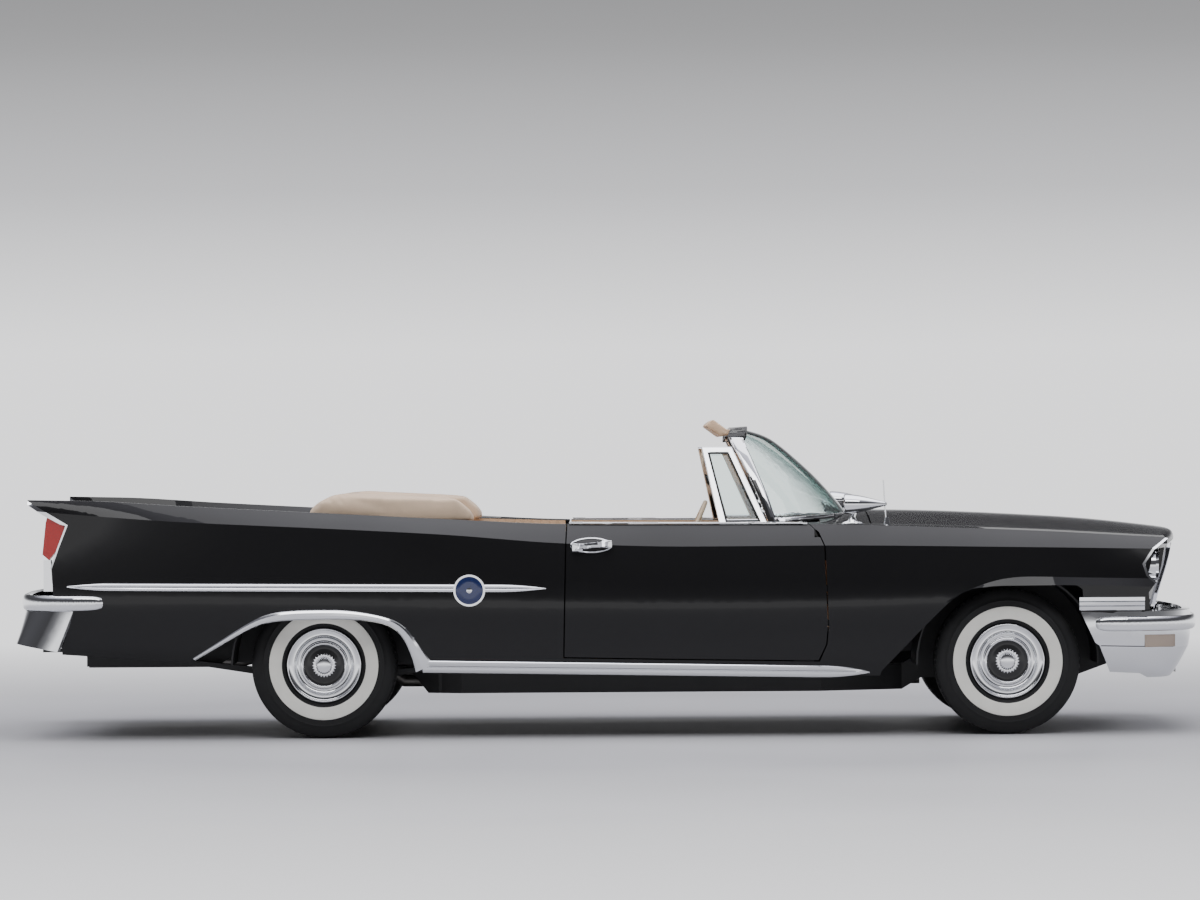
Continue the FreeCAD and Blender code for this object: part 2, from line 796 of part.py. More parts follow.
def exhaust_pipe(sign, extra=0.0):
    """One exhaust run from the engine to the tail, with room for its holes when extra is given."""
    y = sign * size("exhaust_y")
    radius = size("exhaust_radius") + extra
    low = size("exhaust_z")
    bends = [Vector(1480, y, low), Vector(-980, y, low), Vector(-1336, y, low + 215), Vector(-1760, y, low + size("exhaust_tail_rise")),
             Vector(size("exhaust_tip_x"), y, low + size("exhaust_tail_rise"))]
    runs = [tube(start, stop, radius) for start, stop in zip(bends, bends[1:])]
    runs += [Part.makeSphere(radius, bend) for bend in bends[1:-1]]
    return runs[0].fuse(runs[1:])


def make_frame():
    width = size("rail_width")
    low = size("rail_bottom")
    depth = size("floor_z") - fit - low
    kick = size("rail_kick_height")
    front_y, mid_y = size("rail_front_y"), size("rail_mid_y")
    rear_z = size("boot_floor_z") - fit - depth
    side = [
        (size("rail_rear_x"), rear_z), (-1860, rear_z), (-1600, low + kick), (-1100, low + kick), (-860, low),
        (1390, low), (1480, 250), (2200, 250), (size("rail_front_x"), 330),
    ]
    profile = side + [(x, z + depth) for x, z in reversed(side)]
    slab = prism_y(profile, -far_out, far_out)
    taper_front, taper_mid = size("rail_taper_front_x"), size("rail_taper_mid_x")
    plan = [
        (size("rail_rear_x"), 500), (-1750, 500), (-1600, 470), (-940, 470), (-700, mid_y), (taper_mid, mid_y),
        (taper_front, front_y), (size("rail_front_x"), front_y),
    ]
    strip = [(x, y - width / 2) for x, y in plan] + [(x, y + width / 2) for x, y in reversed(plan)]
    rail = slab.common(prism_z(strip, 0, 1200))
    cross_low = low + 10
    crosses = [
        block(-810, -710, -mid_y, mid_y, cross_low, cross_low + 90),
        block(230, 310, -mid_y, mid_y, cross_low, cross_low + 90),
        block(-2000, -1920, -500, 500, rear_z + 20, rear_z + 90),
        block(2340, 2410, -front_y, front_y, 330, 400),
    ]
    rails = rail.fuse([mirrored(rail)] + crosses)
    for sign in (1, -1):
        rails = rails.cut(exhaust_pipe(sign, fit))
    rails = rails.cut(tube(Vector(-1000, 0, axle_z - 6), Vector(600, 0, 385), size("propshaft_radius") + 8))
    parts.append(piece("frame_rails", rails.removeSplitter()))
    return rails


def make_floor():
    plate = size("floor_plate")
    floor_z = size("floor_z")
    kick_z = size("kick_floor_z") + 40
    boot_z = size("boot_floor_z")
    kick_front, kick_rear = size("kick_front_x"), size("kick_rear_x")
    firewall = size("firewall_x") - size("firewall_plate") - fit
    top = [
        (-2620, boot_z + plate), (kick_rear - 60, boot_z + plate), (kick_rear + 60, kick_z + plate),
        (kick_front - 60, kick_z + plate), (kick_front + 60, floor_z + plate), (830, floor_z + plate),
        (firewall, 560),
    ]
    under = [(x, z - plate) for x, z in reversed(top)]
    slab = prism_y(top + under, -far_out, far_out).common(cavity(-2640, firewall, fit))
    half, rise = size("tunnel_half_width"), size("tunnel_rise")
    tunnel_outer = prism_x([(-half, floor_z - 1), (half, floor_z - 1), (half * 0.7, floor_z + rise),
                            (-half * 0.7, floor_z + rise)], kick_front + 30, firewall - 1)
    tunnel_inner = prism_x([(-half + plate, floor_z - 2), (half - plate, floor_z - 2),
                            (half * 0.7 - plate, floor_z + rise - plate),
                            (-half * 0.7 + plate, floor_z + rise - plate)], kick_front - 20, firewall)
    floor = slab.fuse(tunnel_outer).cut(tunnel_inner)
    trim = cabin_side_trim()
    for sign in (1, -1):
        floor = floor.cut(rear_wheel_room(sign))
        side_trim = trim if sign > 0 else mirrored(trim)
        floor = floor.cut(side_trim)
        floor = floor.cut(prism_y(door_outline(panel_gap), sign * (size("door_inner_y") - panel_gap),
                                  sign * far_out))
    floor = floor.cut(tail_wall())
    floor = largest(floor)
    parts.append(piece("floor_pan", floor))
    return floor


def tunnel_room(clear):
    """The outside of the floor tunnel, grown by a clearance, that seats and firewall are cut to."""
    half, rise, floor_z = size("tunnel_half_width") + clear, size("tunnel_rise") + clear, size("floor_z")
    return prism_x([(-half, floor_z - 60), (half, floor_z - 60), (half, floor_z - 1), (half * 0.7, floor_z + rise),
                    (-half * 0.7, floor_z + rise), (-half, floor_z - 1)], -800, 1200)


@lru_cache(maxsize=None)
def rear_wheel_room(sign):
    """Space round a rear wheel that the floor leaves free."""
    radius = size("wheelhouse_radius") + fit
    inner = size("rear_wheelhouse_inner_y") - fit
    start = Vector(rear_axle_x, sign * inner, axle_z)
    return Part.makeCylinder(radius, 600, start, Vector(0, sign, 0)).fuse(
        block(rear_axle_x - radius, rear_axle_x + radius, min(sign * inner, sign * (inner + 600)),
              max(sign * inner, sign * (inner + 600)), 0, axle_z))


def wheelhouse(centre_x, inner_y, radius, z_foot):
    """An arched cover over a wheel with its inner wall, for the left side."""
    plate = size("wheelhouse_plate")
    outer_y = 925
    centre = Vector(centre_x, inner_y, axle_z)
    arch = Part.makeCylinder(radius, outer_y - inner_y, centre, Vector(0, 1, 0))
    room = Part.makeCylinder(radius - plate, outer_y, centre + Vector(0, plate, 0), Vector(0, 1, 0))
    skirt = block(centre_x - radius, centre_x + radius, inner_y, outer_y, z_foot, axle_z)
    skirt_room = block(centre_x - radius + plate, centre_x + radius - plate, inner_y + plate, outer_y + 100, 0, axle_z)
    return arch.fuse(skirt).cut(room).cut(skirt_room).cut(block(centre_x - 900, centre_x + 900, 0, 1200, 0, z_foot))


def apron():
    """The engine bay's side wall, from above the frame rail up to the fender's inner edge."""
    rings = []
    wall_y = size("wheelhouse_inner_y")
    plate = size("wheelhouse_plate")
    for x in spread(size("firewall_x") + fit, 2290, 120):
        lip_y = body_line["gap_y"](x) + 16
        lip_z = body_line["gap_z"](x)
        rings.append([Vector(x, y, z) for y, z in (
            (wall_y, 380), (wall_y + plate, 380), (wall_y + plate, 780), (lip_y + plate, lip_z - 50),
            (lip_y + plate, lip_z + 30), (lip_y, lip_z + 30), (lip_y, lip_z - 44), (wall_y, 786))])
    return skin_solid(rings, list(range(8)))


def make_wheelhouses(hood):
    front = wheelhouse(front_axle_x, size("wheelhouse_inner_y"), size("wheelhouse_radius"), 330)
    front = front.fuse(apron()).common(inner_space)
    lowered = hood.translated(Vector(0, 0, -fit))
    for x in (1520, 2230):
        lip_y, lip_z = body_line["gap_y"](x), body_line["gap_z"](x)
        stop = block(x, x + 24, lip_y - 36, lip_y + 20, lip_z - 70, lip_z - 6).cut(lowered).cut(skin_left)
        front = front.fuse(largest(stop))
    front = front.cut(block(2150, 2400, 840, 1100, 0, 585))
    arm_z = axle_z + size("knuckle_height") / 2
    inner_wall = size("wheelhouse_inner_y")
    arm_slot = block(front_axle_x - 110, front_axle_x + 110, inner_wall - 5, inner_wall + 20, arm_z - 5,
                     arm_z + size("arm_depth") + 5)
    front = front.cut(arm_slot)
    rear = wheelhouse(rear_axle_x, size("rear_wheelhouse_inner_y"), size("wheelhouse_radius"), 335)
    rear = rear.common(inner_space)
    inner_y = size("rear_wheelhouse_inner_y")
    rear = rear.cut(block(rear_axle_x - 70, rear_axle_x + 70, inner_y - 10, inner_y + 20, 0, axle_z + 110))
    parts.append(piece("front_wheelhouses", both_sides(largest(front))))
    parts.append(piece("rear_wheelhouses", both_sides(largest(rear))))


def make_cowl(floor):
    """Firewall with the cowl top behind the hood, cut to the body sides."""
    wall_x = size("firewall_x")
    plate = size("firewall_plate")
    wall = block(wall_x - plate, wall_x, -735, 735, size("floor_z") + 12, 1100)
    shares = [-1.0, -0.8, -0.5, -0.2, 0.2, 0.5, 0.8, 1.0]

    def cowl_solid(depth):
        rings = []
        for x in spread(742, size("hood_rear_x") - panel_gap - 1, 60):
            edge_y = body_line["gap_y"](x) - fit
            edge_z = body_line["gap_z"](x)
            centre_z = 1050 - 0.12 * (size("hood_rear_x") - x)
            top = [Vector(x, share * edge_y, centre_z - (centre_z - edge_z) * share * share) for share in shares]
            under = [point - Vector(0, 0, depth) for point in reversed(top)]
            rings.append(top + under)
        return skin_solid(rings, [0, 7, 8, 15])

    cowl = cowl_solid(14).cut(block(700, 1000, -700, 700, 900, 1100))
    wall = wall.common(cowl_solid(900))
    inside = cavity(900, 1300, fit)
    wing = block(wall_x - plate, wall_x, -far_out, far_out, size("floor_z") + 12, 930).common(inside)
    pillar = block(1048, wall_x - plate + 1, size("door_inner_y"), 940, size("floor_z") + 12, 930)
    pillar = pillar.common(inside)
    door_foot = (1050 - size("door_hinge_x"), -size("hinge_strap_drop") * math.sin(math.radians(size("door_strap_angle"))))
    pillar = pillar.fuse([placed(hinge_strap("door_strap_angle", door_foot), hinge) for hinge in door_hinges])
    strap = placed(hinge_strap("panel_strap_angle", (50, 3)), hood_hinge)
    cowl = cowl.fuse([wall, wing, pillar, mirrored(pillar), strap, mirrored(strap)])
    cowl = cowl.cut(tunnel_room(fit)).cut(floor)
    cowl = largest(cowl)
    parts.append(piece("cowl_and_firewall", cowl.removeSplitter()))
    return cowl


# Wheels, tyres and running gear

def make_wheels():
    for axle, centre_x, track in (("front", FRONT_AXLE, "front_track"), ("rear", REAR_AXLE, "rear_track")):
        for side, sign in SIDES:
            turn = 0 if sign > 0 else 180
            tyre = turned("tyre_%s_%s" % (axle, side), [
                ("-Sizes.rim_width / 2", "Sizes.bead_radius"),
                ("Sizes.rim_width / 2", "Sizes.bead_radius"),
                ("Sizes.tyre_width / 2 - 8", "Sizes.bead_radius + 40"),
                ("Sizes.tyre_width / 2", "Sizes.bead_radius + 82"),
                ("Sizes.tyre_width / 2 - 8", "Sizes.tyre_radius - 42"),
                ("Sizes.tread_width / 2", "Sizes.tyre_radius - Sizes.tyre_shoulder_drop"),
                ("Sizes.tread_width / 4", "Sizes.tyre_radius"),
                ("-Sizes.tread_width / 4", "Sizes.tyre_radius"),
                ("-Sizes.tread_width / 2", "Sizes.tyre_radius - Sizes.tyre_shoulder_drop"),
                ("-Sizes.tyre_width / 2 + 8", "Sizes.tyre_radius - 42"),
                ("-Sizes.tyre_width / 2", "Sizes.bead_radius + 82"),
                ("-Sizes.tyre_width / 2 + 8", "Sizes.bead_radius + 40"),
            ])
            wheel = wheel_body("wheel_%s_%s" % (axle, side))
            for body in (tyre, wheel):
                along = "Sizes.%s / 2" % track
                seat_at(body, centre_x, along if sign > 0 else "-" + along, "Sizes.tyre_radius", turn)
                parts.append(body)


def wheel_body(label):
    rim = "Sizes.bead_radius - Sizes.fit"
    return turned(label, [
        ("-Sizes.rim_width / 2", rim),
        ("-Sizes.rim_width / 2", rim + " - Sizes.rim_depth"),
        ("Sizes.wheel_disc_back", rim + " - Sizes.rim_depth"),
        ("Sizes.wheel_disc_back", "Sizes.spindle_radius + Sizes.running_clearance"),
        ("Sizes.wheel_disc_back + 18", "Sizes.spindle_radius + Sizes.running_clearance"),
        ("Sizes.wheel_disc_back + 18", "Sizes.cover_cone_radius * 0"),
        ("Sizes.cover_stand + Sizes.cover_cone_height - Sizes.cover_dish", "Sizes.cover_cone_radius * 0"),
        ("Sizes.cover_stand + Sizes.cover_cone_height - Sizes.cover_dish - 6", "Sizes.cover_cone_radius * 0.6"),
        ("Sizes.cover_stand - Sizes.cover_dish", "Sizes.cover_cone_radius"),
        ("Sizes.cover_stand - Sizes.cover_dish - 4", "Sizes.cover_hub_radius"),
        ("Sizes.cover_stand - 2", "Sizes.cover_ring_radius"),
        ("Sizes.cover_stand + 6", "Sizes.cover_ring_radius + 16"),
        ("Sizes.cover_stand - 8", "Sizes.cover_radius"),
        ("Sizes.rim_width / 2", rim),
    ])


def make_knuckles():
    pin_y = size("front_track") / 2 - size("kingpin_inset")
    height = size("knuckle_height")
    half = size("knuckle_width") / 2
    plate = size("knuckle_plate")
    radius = size("spindle_radius")
    drum_r = size("brake_drum_radius")
    wheel_y = size("front_track") / 2
    drum_inner = wheel_y - size("brake_drum_width") + size("wheel_disc_back") - fit - 10
    upright = block(front_axle_x - half, front_axle_x + half, pin_y - plate / 2, pin_y + plate / 2,
                    axle_z - height / 2, axle_z + height / 2)
    spindle = tube(Vector(front_axle_x, pin_y, axle_z), Vector(front_axle_x, wheel_y + 34, axle_z), radius)
    backing = tube(Vector(front_axle_x, drum_inner - 8, axle_z), Vector(front_axle_x, drum_inner, axle_z), drum_r)
    drum = tube(Vector(front_axle_x, drum_inner, axle_z),
                Vector(front_axle_x, wheel_y + size("wheel_disc_back") - fit - 2, axle_z), drum_r - 8)
    arm = block(front_axle_x - 140, front_axle_x - half + 1, pin_y - 30, pin_y - 8, axle_z - 80, axle_z - 56)
    knuckle = upright.fuse([spindle, backing, drum, arm]).removeSplitter()
    for end in (-1, 1):
        start = Vector(front_axle_x, pin_y, axle_z + end * (height / 2 + 1))
        stop = Vector(front_axle_x, pin_y, axle_z + end * (height / 2 - size("kingpin_depth") - fit))
        knuckle = knuckle.cut(tube(start, stop, size("kingpin_radius") + size("running_clearance")))
    parts.append(piece("knuckle_left", knuckle))
    parts.append(piece("knuckle_right", mirrored(knuckle)))
    return pin_y


def make_front_suspension(pin_y):
    """Crossmember, wishbones and lower arms that carry the knuckles."""
    height = size("knuckle_height")
    reach = size("arm_reach")
    depth = size("arm_depth")
    low_z = axle_z - height / 2 - depth - fit
    high_z = axle_z + height / 2 + fit
    shapes = []
    for z, shorten in ((low_z, 0), (high_z, -20)):
        inner_y = pin_y - reach + shorten
        spread_x = size("arm_spread")
        tip = size("arm_tip") / 2
        arm = prism_z([(front_axle_x - tip, pin_y + 6), (front_axle_x + tip, pin_y + 6),
                       (front_axle_x + spread_x / 2, inner_y), (front_axle_x - spread_x / 2, inner_y)], z, z + depth)
        inward = 1 if z < axle_z else -1
        pin_foot = Vector(front_axle_x, pin_y, z + depth / 2)
        pin_end = axle_z - inward * (height / 2 - size("kingpin_depth"))
        arm = arm.fuse(tube(pin_foot, Vector(front_axle_x, pin_y, pin_end), size("kingpin_radius")))
        shapes.append(arm)
    cross = block(front_axle_x - size("crossmember_width") / 2, front_axle_x + size("crossmember_width") / 2,
                  -(pin_y - reach), pin_y - reach, low_z, 249.5)
    arms = [shape.cut(block(front_axle_x - 300, front_axle_x + 300, -10, size("rail_front_y")
                            + size("rail_width") / 2 + fit, 249, 372)) for shape in shapes]
    half_engine = size("engine_width") / 2
    saddle = block(front_axle_x - 50, front_axle_x + 50, -half_engine, half_engine, 249, size("engine_bottom_z") - fit)
    lower = cross.fuse(saddle)
    for shape in (arms[0], mirrored(arms[0])):
        lower = lower.fuse(shape)
    tower_y = size("rail_front_y")
    rail_top = 250 + size("floor_z") - fit - size("rail_bottom")
    tower = block(front_axle_x - 80, front_axle_x + 80, tower_y - 36, tower_y + 36, rail_top + fit, high_z + depth)
    upper = tower.fuse(arms[1])
    parts.append(piece("front_suspension", Part.Compound([lower.removeSplitter(), upper, mirrored(upper)])))


def make_rear_axle(rails):
    tube_r = size("rear_axle_tube_radius")
    half_track = size("rear_track") / 2
    flange_y = half_track + size("wheel_disc_back") - fit
    housing = tube(Vector(rear_axle_x, -flange_y + 60, axle_z), Vector(rear_axle_x, flange_y - 60, axle_z), tube_r)
    ball = Part.makeSphere(size("differential_radius"), Vector(rear_axle_x, 0, axle_z))
    nose = tube(Vector(rear_axle_x, 0, axle_z), Vector(rear_axle_x + 260, 0, axle_z - 10), 60)
    axle = housing.fuse([ball, nose])
    for sign in (1, -1):
        drum = tube(Vector(rear_axle_x, sign * (flange_y - 84), axle_z), Vector(rear_axle_x, sign * (flange_y - 2), axle_z),
                    size("brake_drum_radius") - 8)
        spindle = tube(Vector(rear_axle_x, sign * (flange_y - 20), axle_z),
                       Vector(rear_axle_x, sign * (flange_y + 14), axle_z), size("spindle_radius"))
        axle = axle.fuse([drum, spindle])
    axle = axle.removeSplitter()
    parts.append(piece("rear_axle", axle))
    leaf_y = size("leaf_y")
    top = axle_z - tube_r - fit
    depth = size("leaf_depth")
    front_x = rear_axle_x + size("leaf_length_front")
    rear_x = rear_axle_x - size("leaf_length_rear")
    path = [(rear_x, top - depth + 90), (rear_axle_x - 300, top - depth + 18), (rear_axle_x, top - depth),
            (rear_axle_x + 300, top - depth + 6), (front_x, top - depth + 40)]
    profile = path + [(x, z + depth * (1 if abs(x - rear_axle_x) < 400 else 0.4)) for x, z in reversed(path)]
    leaf = prism_y(profile, leaf_y - size("leaf_width") / 2, leaf_y + size("leaf_width") / 2)
    hanger_front = block(front_x - 30, front_x + 30, 500, leaf_y + 14, top - 14, 330)
    rail_face = 500 + size("rail_width") / 2
    hanger_rear = block(rear_x - 20, rear_x + 20, rail_face + fit, leaf_y + 14, top + 60, 420)
    spring = leaf.fuse([hanger_front, hanger_rear]).cut(rails)
    parts.append(piece("leaf_springs", both_sides(largest(spring))))
    return axle


def make_powertrain():
    engine = padded("engine_block", "XZ_Plane", [
        ("Sizes.engine_front_x", "Sizes.engine_bottom_z"),
        ("Sizes.engine_front_x", "Sizes.engine_bottom_z + Sizes.engine_height"),
        ("Sizes.engine_front_x - Sizes.engine_length", "Sizes.engine_bottom_z + Sizes.engine_height"),
        ("Sizes.engine_front_x - Sizes.engine_length", "Sizes.engine_bottom_z"),
    ], "Sizes.engine_width")
    parts.append(engine)


# Front end

def bowed(x_centre, bow, reference_y, y):
    return x_centre - bow * (y / reference_y) ** 2


def grille_face(z):
    """How far forward the grille's face stands at a height, at the centre line."""
    return smooth_line([560, 673, 698, 775, 901], [2626, 2652, 2657, 2684, 2706])(z)


def make_grille():
    """Egg-crate grille: a trapezoid surround, wider at its foot, filled with thin upright and level bars."""
    bow, edge = size("hood_bow"), 722
    top_z, foot_z = size("grille_top_z"), size("grille_foot_z")
    top_y, foot_y = size("grille_top_y"), size("grille_foot_y")
    depth, plate = size("grille_depth"), size("grille_bar")

    def half_width(z):
        return foot_y + (top_y - foot_y) * (z - foot_z) / (top_z - foot_z)

    def level_bar(z, height, front, back, reach=0):
        ys = spread(-half_width(z) - reach, half_width(z) + reach, 90)
        points = [Vector(bowed(grille_face(z), bow, edge, y) + front, y, z) for y in ys]
        return bar(points, [Vector(0, 0, height / 2)] * len(ys), [Vector(-back, 0, 0)] * len(ys))

    rim = size("grille_rim")
    bars = [level_bar(top_z - rim / 2, rim, 6, depth, rim), level_bar(foot_z + rim / 2, rim, 6, depth, rim)]
    for sign in (1, -1):
        zs = spread(foot_z, top_z, 60)
        points = [Vector(bowed(grille_face(z), bow, edge, half_width(z)) + 6, sign * half_width(z), z) for z in zs]
        bars.append(bar(points, [Vector(0, rim / 2, 0)] * len(zs), [Vector(-depth, 0, 0)] * len(zs)))
    rows = int(size("grille_rows"))
    for k in range(1, rows):
        bars.append(level_bar(foot_z + (top_z - foot_z) * k / rows, plate, -6, depth - 14))
    columns = int(size("grille_columns"))
    for k in range(1, columns):
        share = 2 * k / columns - 1
        zs = spread(foot_z + 4, top_z - 4, 80)
        points = [Vector(bowed(grille_face(z), bow, edge, share * half_width(z)) - 8, share * half_width(z), z)
                  for z in zs]
        bars.append(bar(points, [Vector(0, plate / 2, 0)] * len(zs), [Vector(-(depth - 16), 0, 0)] * len(zs)))
    parts.append(piece("grille", largest(bars[0].fuse(bars[1:]))))


def make_nose():
    """The painted panel round the grille and lamps, and the radiator wall behind the grille."""
    levels = (560, 673, 775, 880)
    rings = []
    for y in spread(-960, 960, 80):
        front = [Vector(bowed(grille_face(z), size("hood_bow"), 722, y) - 8, y, z) for z in levels]
        rings.append(front + [point - Vector(20, 0, 0) for point in reversed(front)])
    wall = skin_solid(rings, [0, 1, 2, 3, 4, 5, 6, 7]).common(cavity(2300, 2680, fit))
    top_z, foot_z = size("grille_top_z"), size("grille_foot_z")
    top_y, foot_y = size("grille_top_y"), size("grille_foot_y")
    grow = size("grille_rim") + 8
    opening = prism_x([(-foot_y - grow, foot_z - fit), (foot_y + grow, foot_z - fit), (top_y + grow, top_z + 40),
                       (-top_y - grow, top_z + 40)], 2300, 2900)
    wall = wall.cut(opening)
    for sign in (1, -1):
        wall = wall.cut(lamp_room(sign))
    wall = largest(wall)
    parts.append(piece("nose_panel", wall))
    return wall


def lamp_places():
    return [(size("lamp_outer_y"), size("lamp_z")), (size("lamp_inner_y"), size("lamp_z"))]


def lamp_room(sign):
    pod = size("lamp_radius") + size("lamp_rim") + fit
    z = size("lamp_z")
    y_in, y_out = size("lamp_inner_y") - pod, size("lamp_outer_y") + pod
    return block(2380, 2700, min(sign * y_in, sign * y_out), max(sign * y_in, sign * y_out), z - pod, z + pod)


def make_headlamps():
    """Paired round lamps on each side: bezels sunk under the fender's hood, and their glass."""
    radius = size("lamp_radius")
    rim = size("lamp_rim")
    bezels, lenses = [], []
    for sign in (1, -1):
        pod = None
        for y, z in lamp_places():
            front = size("lamp_front_x") - (y - size("lamp_inner_y")) * 0.18
            ring = tube(Vector(front - 90, sign * y, z), Vector(front, sign * y, z), radius + rim)
            bowl = tube(Vector(front - 80, sign * y, z), Vector(front + 10, sign * y, z), radius)
            ring = ring.cut(bowl)
            lens = tube(Vector(front - 80 + fit, sign * y, z), Vector(front - 30, sign * y, z), radius - fit)
            dome = Part.makeSphere(radius * 1.6, Vector(front - 30 - radius * 1.25, sign * y, z))
            dome = dome.common(tube(Vector(front - 31, sign * y, z), Vector(front + 40, sign * y, z), radius - fit))
            lenses.append(lens.fuse(dome).removeSplitter())
            pod = ring if pod is None else pod.fuse(ring)
        y_in, y_out = size("lamp_inner_y"), size("lamp_outer_y")
        bridge = block(size("lamp_front_x") - 140, size("lamp_front_x") - 75, min(sign * y_in, sign * y_out),
                       max(sign * y_in, sign * y_out), size("lamp_z") - 50, size("lamp_z") + 50)
        for lens in lenses[-2:]:
            bridge = bridge.cut(lens)
        bezels.append(pod.fuse(bridge).removeSplitter())
    edge = prism_y([(2605, 915), (2539, 868), (2490, 795), (2508, 739), (2548, 703), (2556, 709), (2518, 745),
                    (2502, 795), (2548, 862), (2618, 912)], 0, far_out)
    edge = largest(skin_left.common(edge))
    parts.append(piece("headlamp_bezels", Part.Compound(bezels + [edge, mirrored(edge)])))
    parts.append(piece("headlamp_lenses", Part.Compound(lenses)))


def swept_section(path, section_poles, corners, growth=None):
    """A bar whose section (outward, height) is carried along a plan path (x, y) by the path's normals."""
    rings = []
    count = len(path)
    growth = growth or [1.0] * count
    root_o = section_poles[0][0]
    root_z = sum(z for o, z in section_poles) / len(section_poles)
    for k, (x, y) in enumerate(path):
        before, after = path[max(0, k - 1)], path[min(count - 1, k + 1)]
        along = Vector(after[0] - before[0], after[1] - before[1], 0)
        along.normalize()
        out = Vector(along.y, -along.x, 0)
        if out.x * x < 0 and abs(out.x) > 0.3 or abs(out.x) <= 0.3 and out.y * y < 0:
            out = -out
        share = growth[k]
        rings.append([Vector(x, y, 0) + out * (root_o + (o - root_o) * share) + Vector(0, 0, root_z + (z - root_z) * share)
                      for o, z in section_poles])
    return skin_solid(rings, corners)


def full_path(half):
    """A half path from the side to the centre line, continued to the other side."""
    return half + [(x, -y) for x, y in reversed(half[:-1])]


def make_bumpers(nose_wall):
    """Each bumper is a bright panel with a rounded bar along it that ends in a bullet on each side."""
    round_front = [(2420, 984), (2530, 966), (2630, 925), (2710, 840), (2760, 700), (2786, 520), (2798, 300),
                   (half_length, 150), (half_length, 0)]
    panel = swept_section(full_path([(2190, 985), (2300, 988)] + round_front), [
        (-66, 578), (-28, 574), (-24, 540), (-24, 480), (-28, 440), (-36, 403), (-60, 352), (-94, 292), (-120, 262),
        (-134, 266), (-108, 298), (-76, 356), (-50, 402), (-42, 440), (-38, 480), (-38, 556), (-66, 562),
    ], [0, 1, 5, 8, 9, 12, 15, 16])
    path = full_path([(2262, 986), (2266, 986), (2284, 987), (2330, 988)] + round_front)
    bar_section = [(-40, 545), (-14, 556), (0, 540), (0, 516), (0, 500), (-10, 477), (-40, 482)]
    swell = [0.05, 0.5, 0.9] + [1.0] * (len(path) - 6) + [0.9, 0.5, 0.05]
    shape = panel.fuse(swept_section(path, bar_section, [0, 6], swell))
    for sign in (1, -1):
        shape = shape.cut(prism_y([(2000, 700), (2196, 580), (2266, 430), (2286, 416), (2340, 290), (2480, 282),
                                   (2540, 250), (2000, 200)], 0, sign * far_out))
    for body in (fender_left, mirrored(fender_left), nose_wall):
        shape = shape.cut(body)
    front = largest(shape)
    parts.append(piece("front_bumper", front))
    round_rear = [(-2450, 995), (-2560, 985), (-2650, 950), (-2716, 880), (-2760, 760), (-2784, 560), (-2798, 300),
                  (-half_length, 150), (-half_length, 0)]
    path = full_path([(-2343, 992), (-2349, 992), (-2372, 993)] + round_rear)
    bar_section = [(-48, 676), (-16, 687), (0, 668), (0, 644), (0, 622), (-14, 601), (-48, 608)]
    swell = [0.05, 0.5, 0.9] + [1.0] * (len(path) - 6) + [0.9, 0.5, 0.05]
    bar_shape = swept_section(path, bar_section, [0, 6], swell)
    top_edge = full_path([(-2500, 962), (-2580, 958), (-2650, 935), (-2706, 872), (-2748, 755), (-2770, 555), (-2782, 300),
                          (-2786, 0)])
    low_edge = full_path([(-2575, 962), (-2640, 962), (-2730, 945), (-2776, 890), (-2788, 760), (-2791, 555), (-2792, 300),
                          (-2793, 0)])
    rings = []
    seat_z = bar_shape.optimalBoundingBox(False, False).ZMin - fit
    for (top_x, top_y), (low_x, low_y) in zip(top_edge, low_edge):
        low_z = 417 + (2575 + low_x) / (2575 - 2776) * 38 if low_x > -2776 else 455
        inward = Vector(10, -12 * top_y / 900, 0)
        top, low = Vector(top_x, top_y, seat_z), Vector(low_x, low_y, low_z)
        rings.append([top, low, low + inward, top + inward])
    guards = []
    for shape in (bar_shape, skin_solid(rings, [0, 1, 2, 3])):
        for quarter in (quarter_left, mirrored(quarter_left)):
            shape = shape.cut(quarter)
        guards.append(largest(shape.cut(tail_wall())))
    rear = Part.Compound(guards)
    parts.append(piece("rear_bumper", rear))
    return front, rear


def make_bumper_brackets(front_bumper, rear_bumper):
    """Straps from the frame rails to the bumper bars."""
    front_y = size("rail_front_y")
    front = block(size("rail_front_x") + fit, 2790, front_y - 26, front_y + 26, 446, 462)
    post = block(size("rail_front_x") + fit, size("rail_front_x") + 16, front_y - 26, front_y + 26, 350, 462)
    front = largest(front.fuse(post).cut(front_bumper))
    rear_x = size("rail_rear_x")
    rear = block(-2690, rear_x - fit, 474, 526, 400, 416).fuse([
        block(-2690, -2676, 474, 526, 400, 520), block(-2795, -2677, 474, 526, 504, 520)])
    rear = largest(rear.cut(rear_bumper))
    parts.append(piece("bumper_brackets", Part.Compound([front, mirrored(front), rear, mirrored(rear)])))


# Tail

@lru_cache(maxsize=None)
def tail_wall():
    """The upright wall that closes the tail, bowed as the trunk lid is."""
    ys = spread(-940, 940, 90)
    half_height = 245
    points = [Vector(8 + 2 - bowed(-size("lid_rear_x"), size("lid_bow"), 700, y), y, 446 + half_height) for y in ys]
    wall = bar(points, [Vector(0, 0, half_height)] * len(ys), [Vector(14, 0, 0)] * len(ys))
    gap_y = body_line["gap_y"](-2560)
    wall = wall.cut(block(-2800, -2400, -gap_y, gap_y, size("lid_rear_z") - panel_gap, 1200))
    return largest(wall.common(cavity(-2640, -2400, fit)))


def make_tail():
    parts.append(piece("tail_panel", tail_wall()))


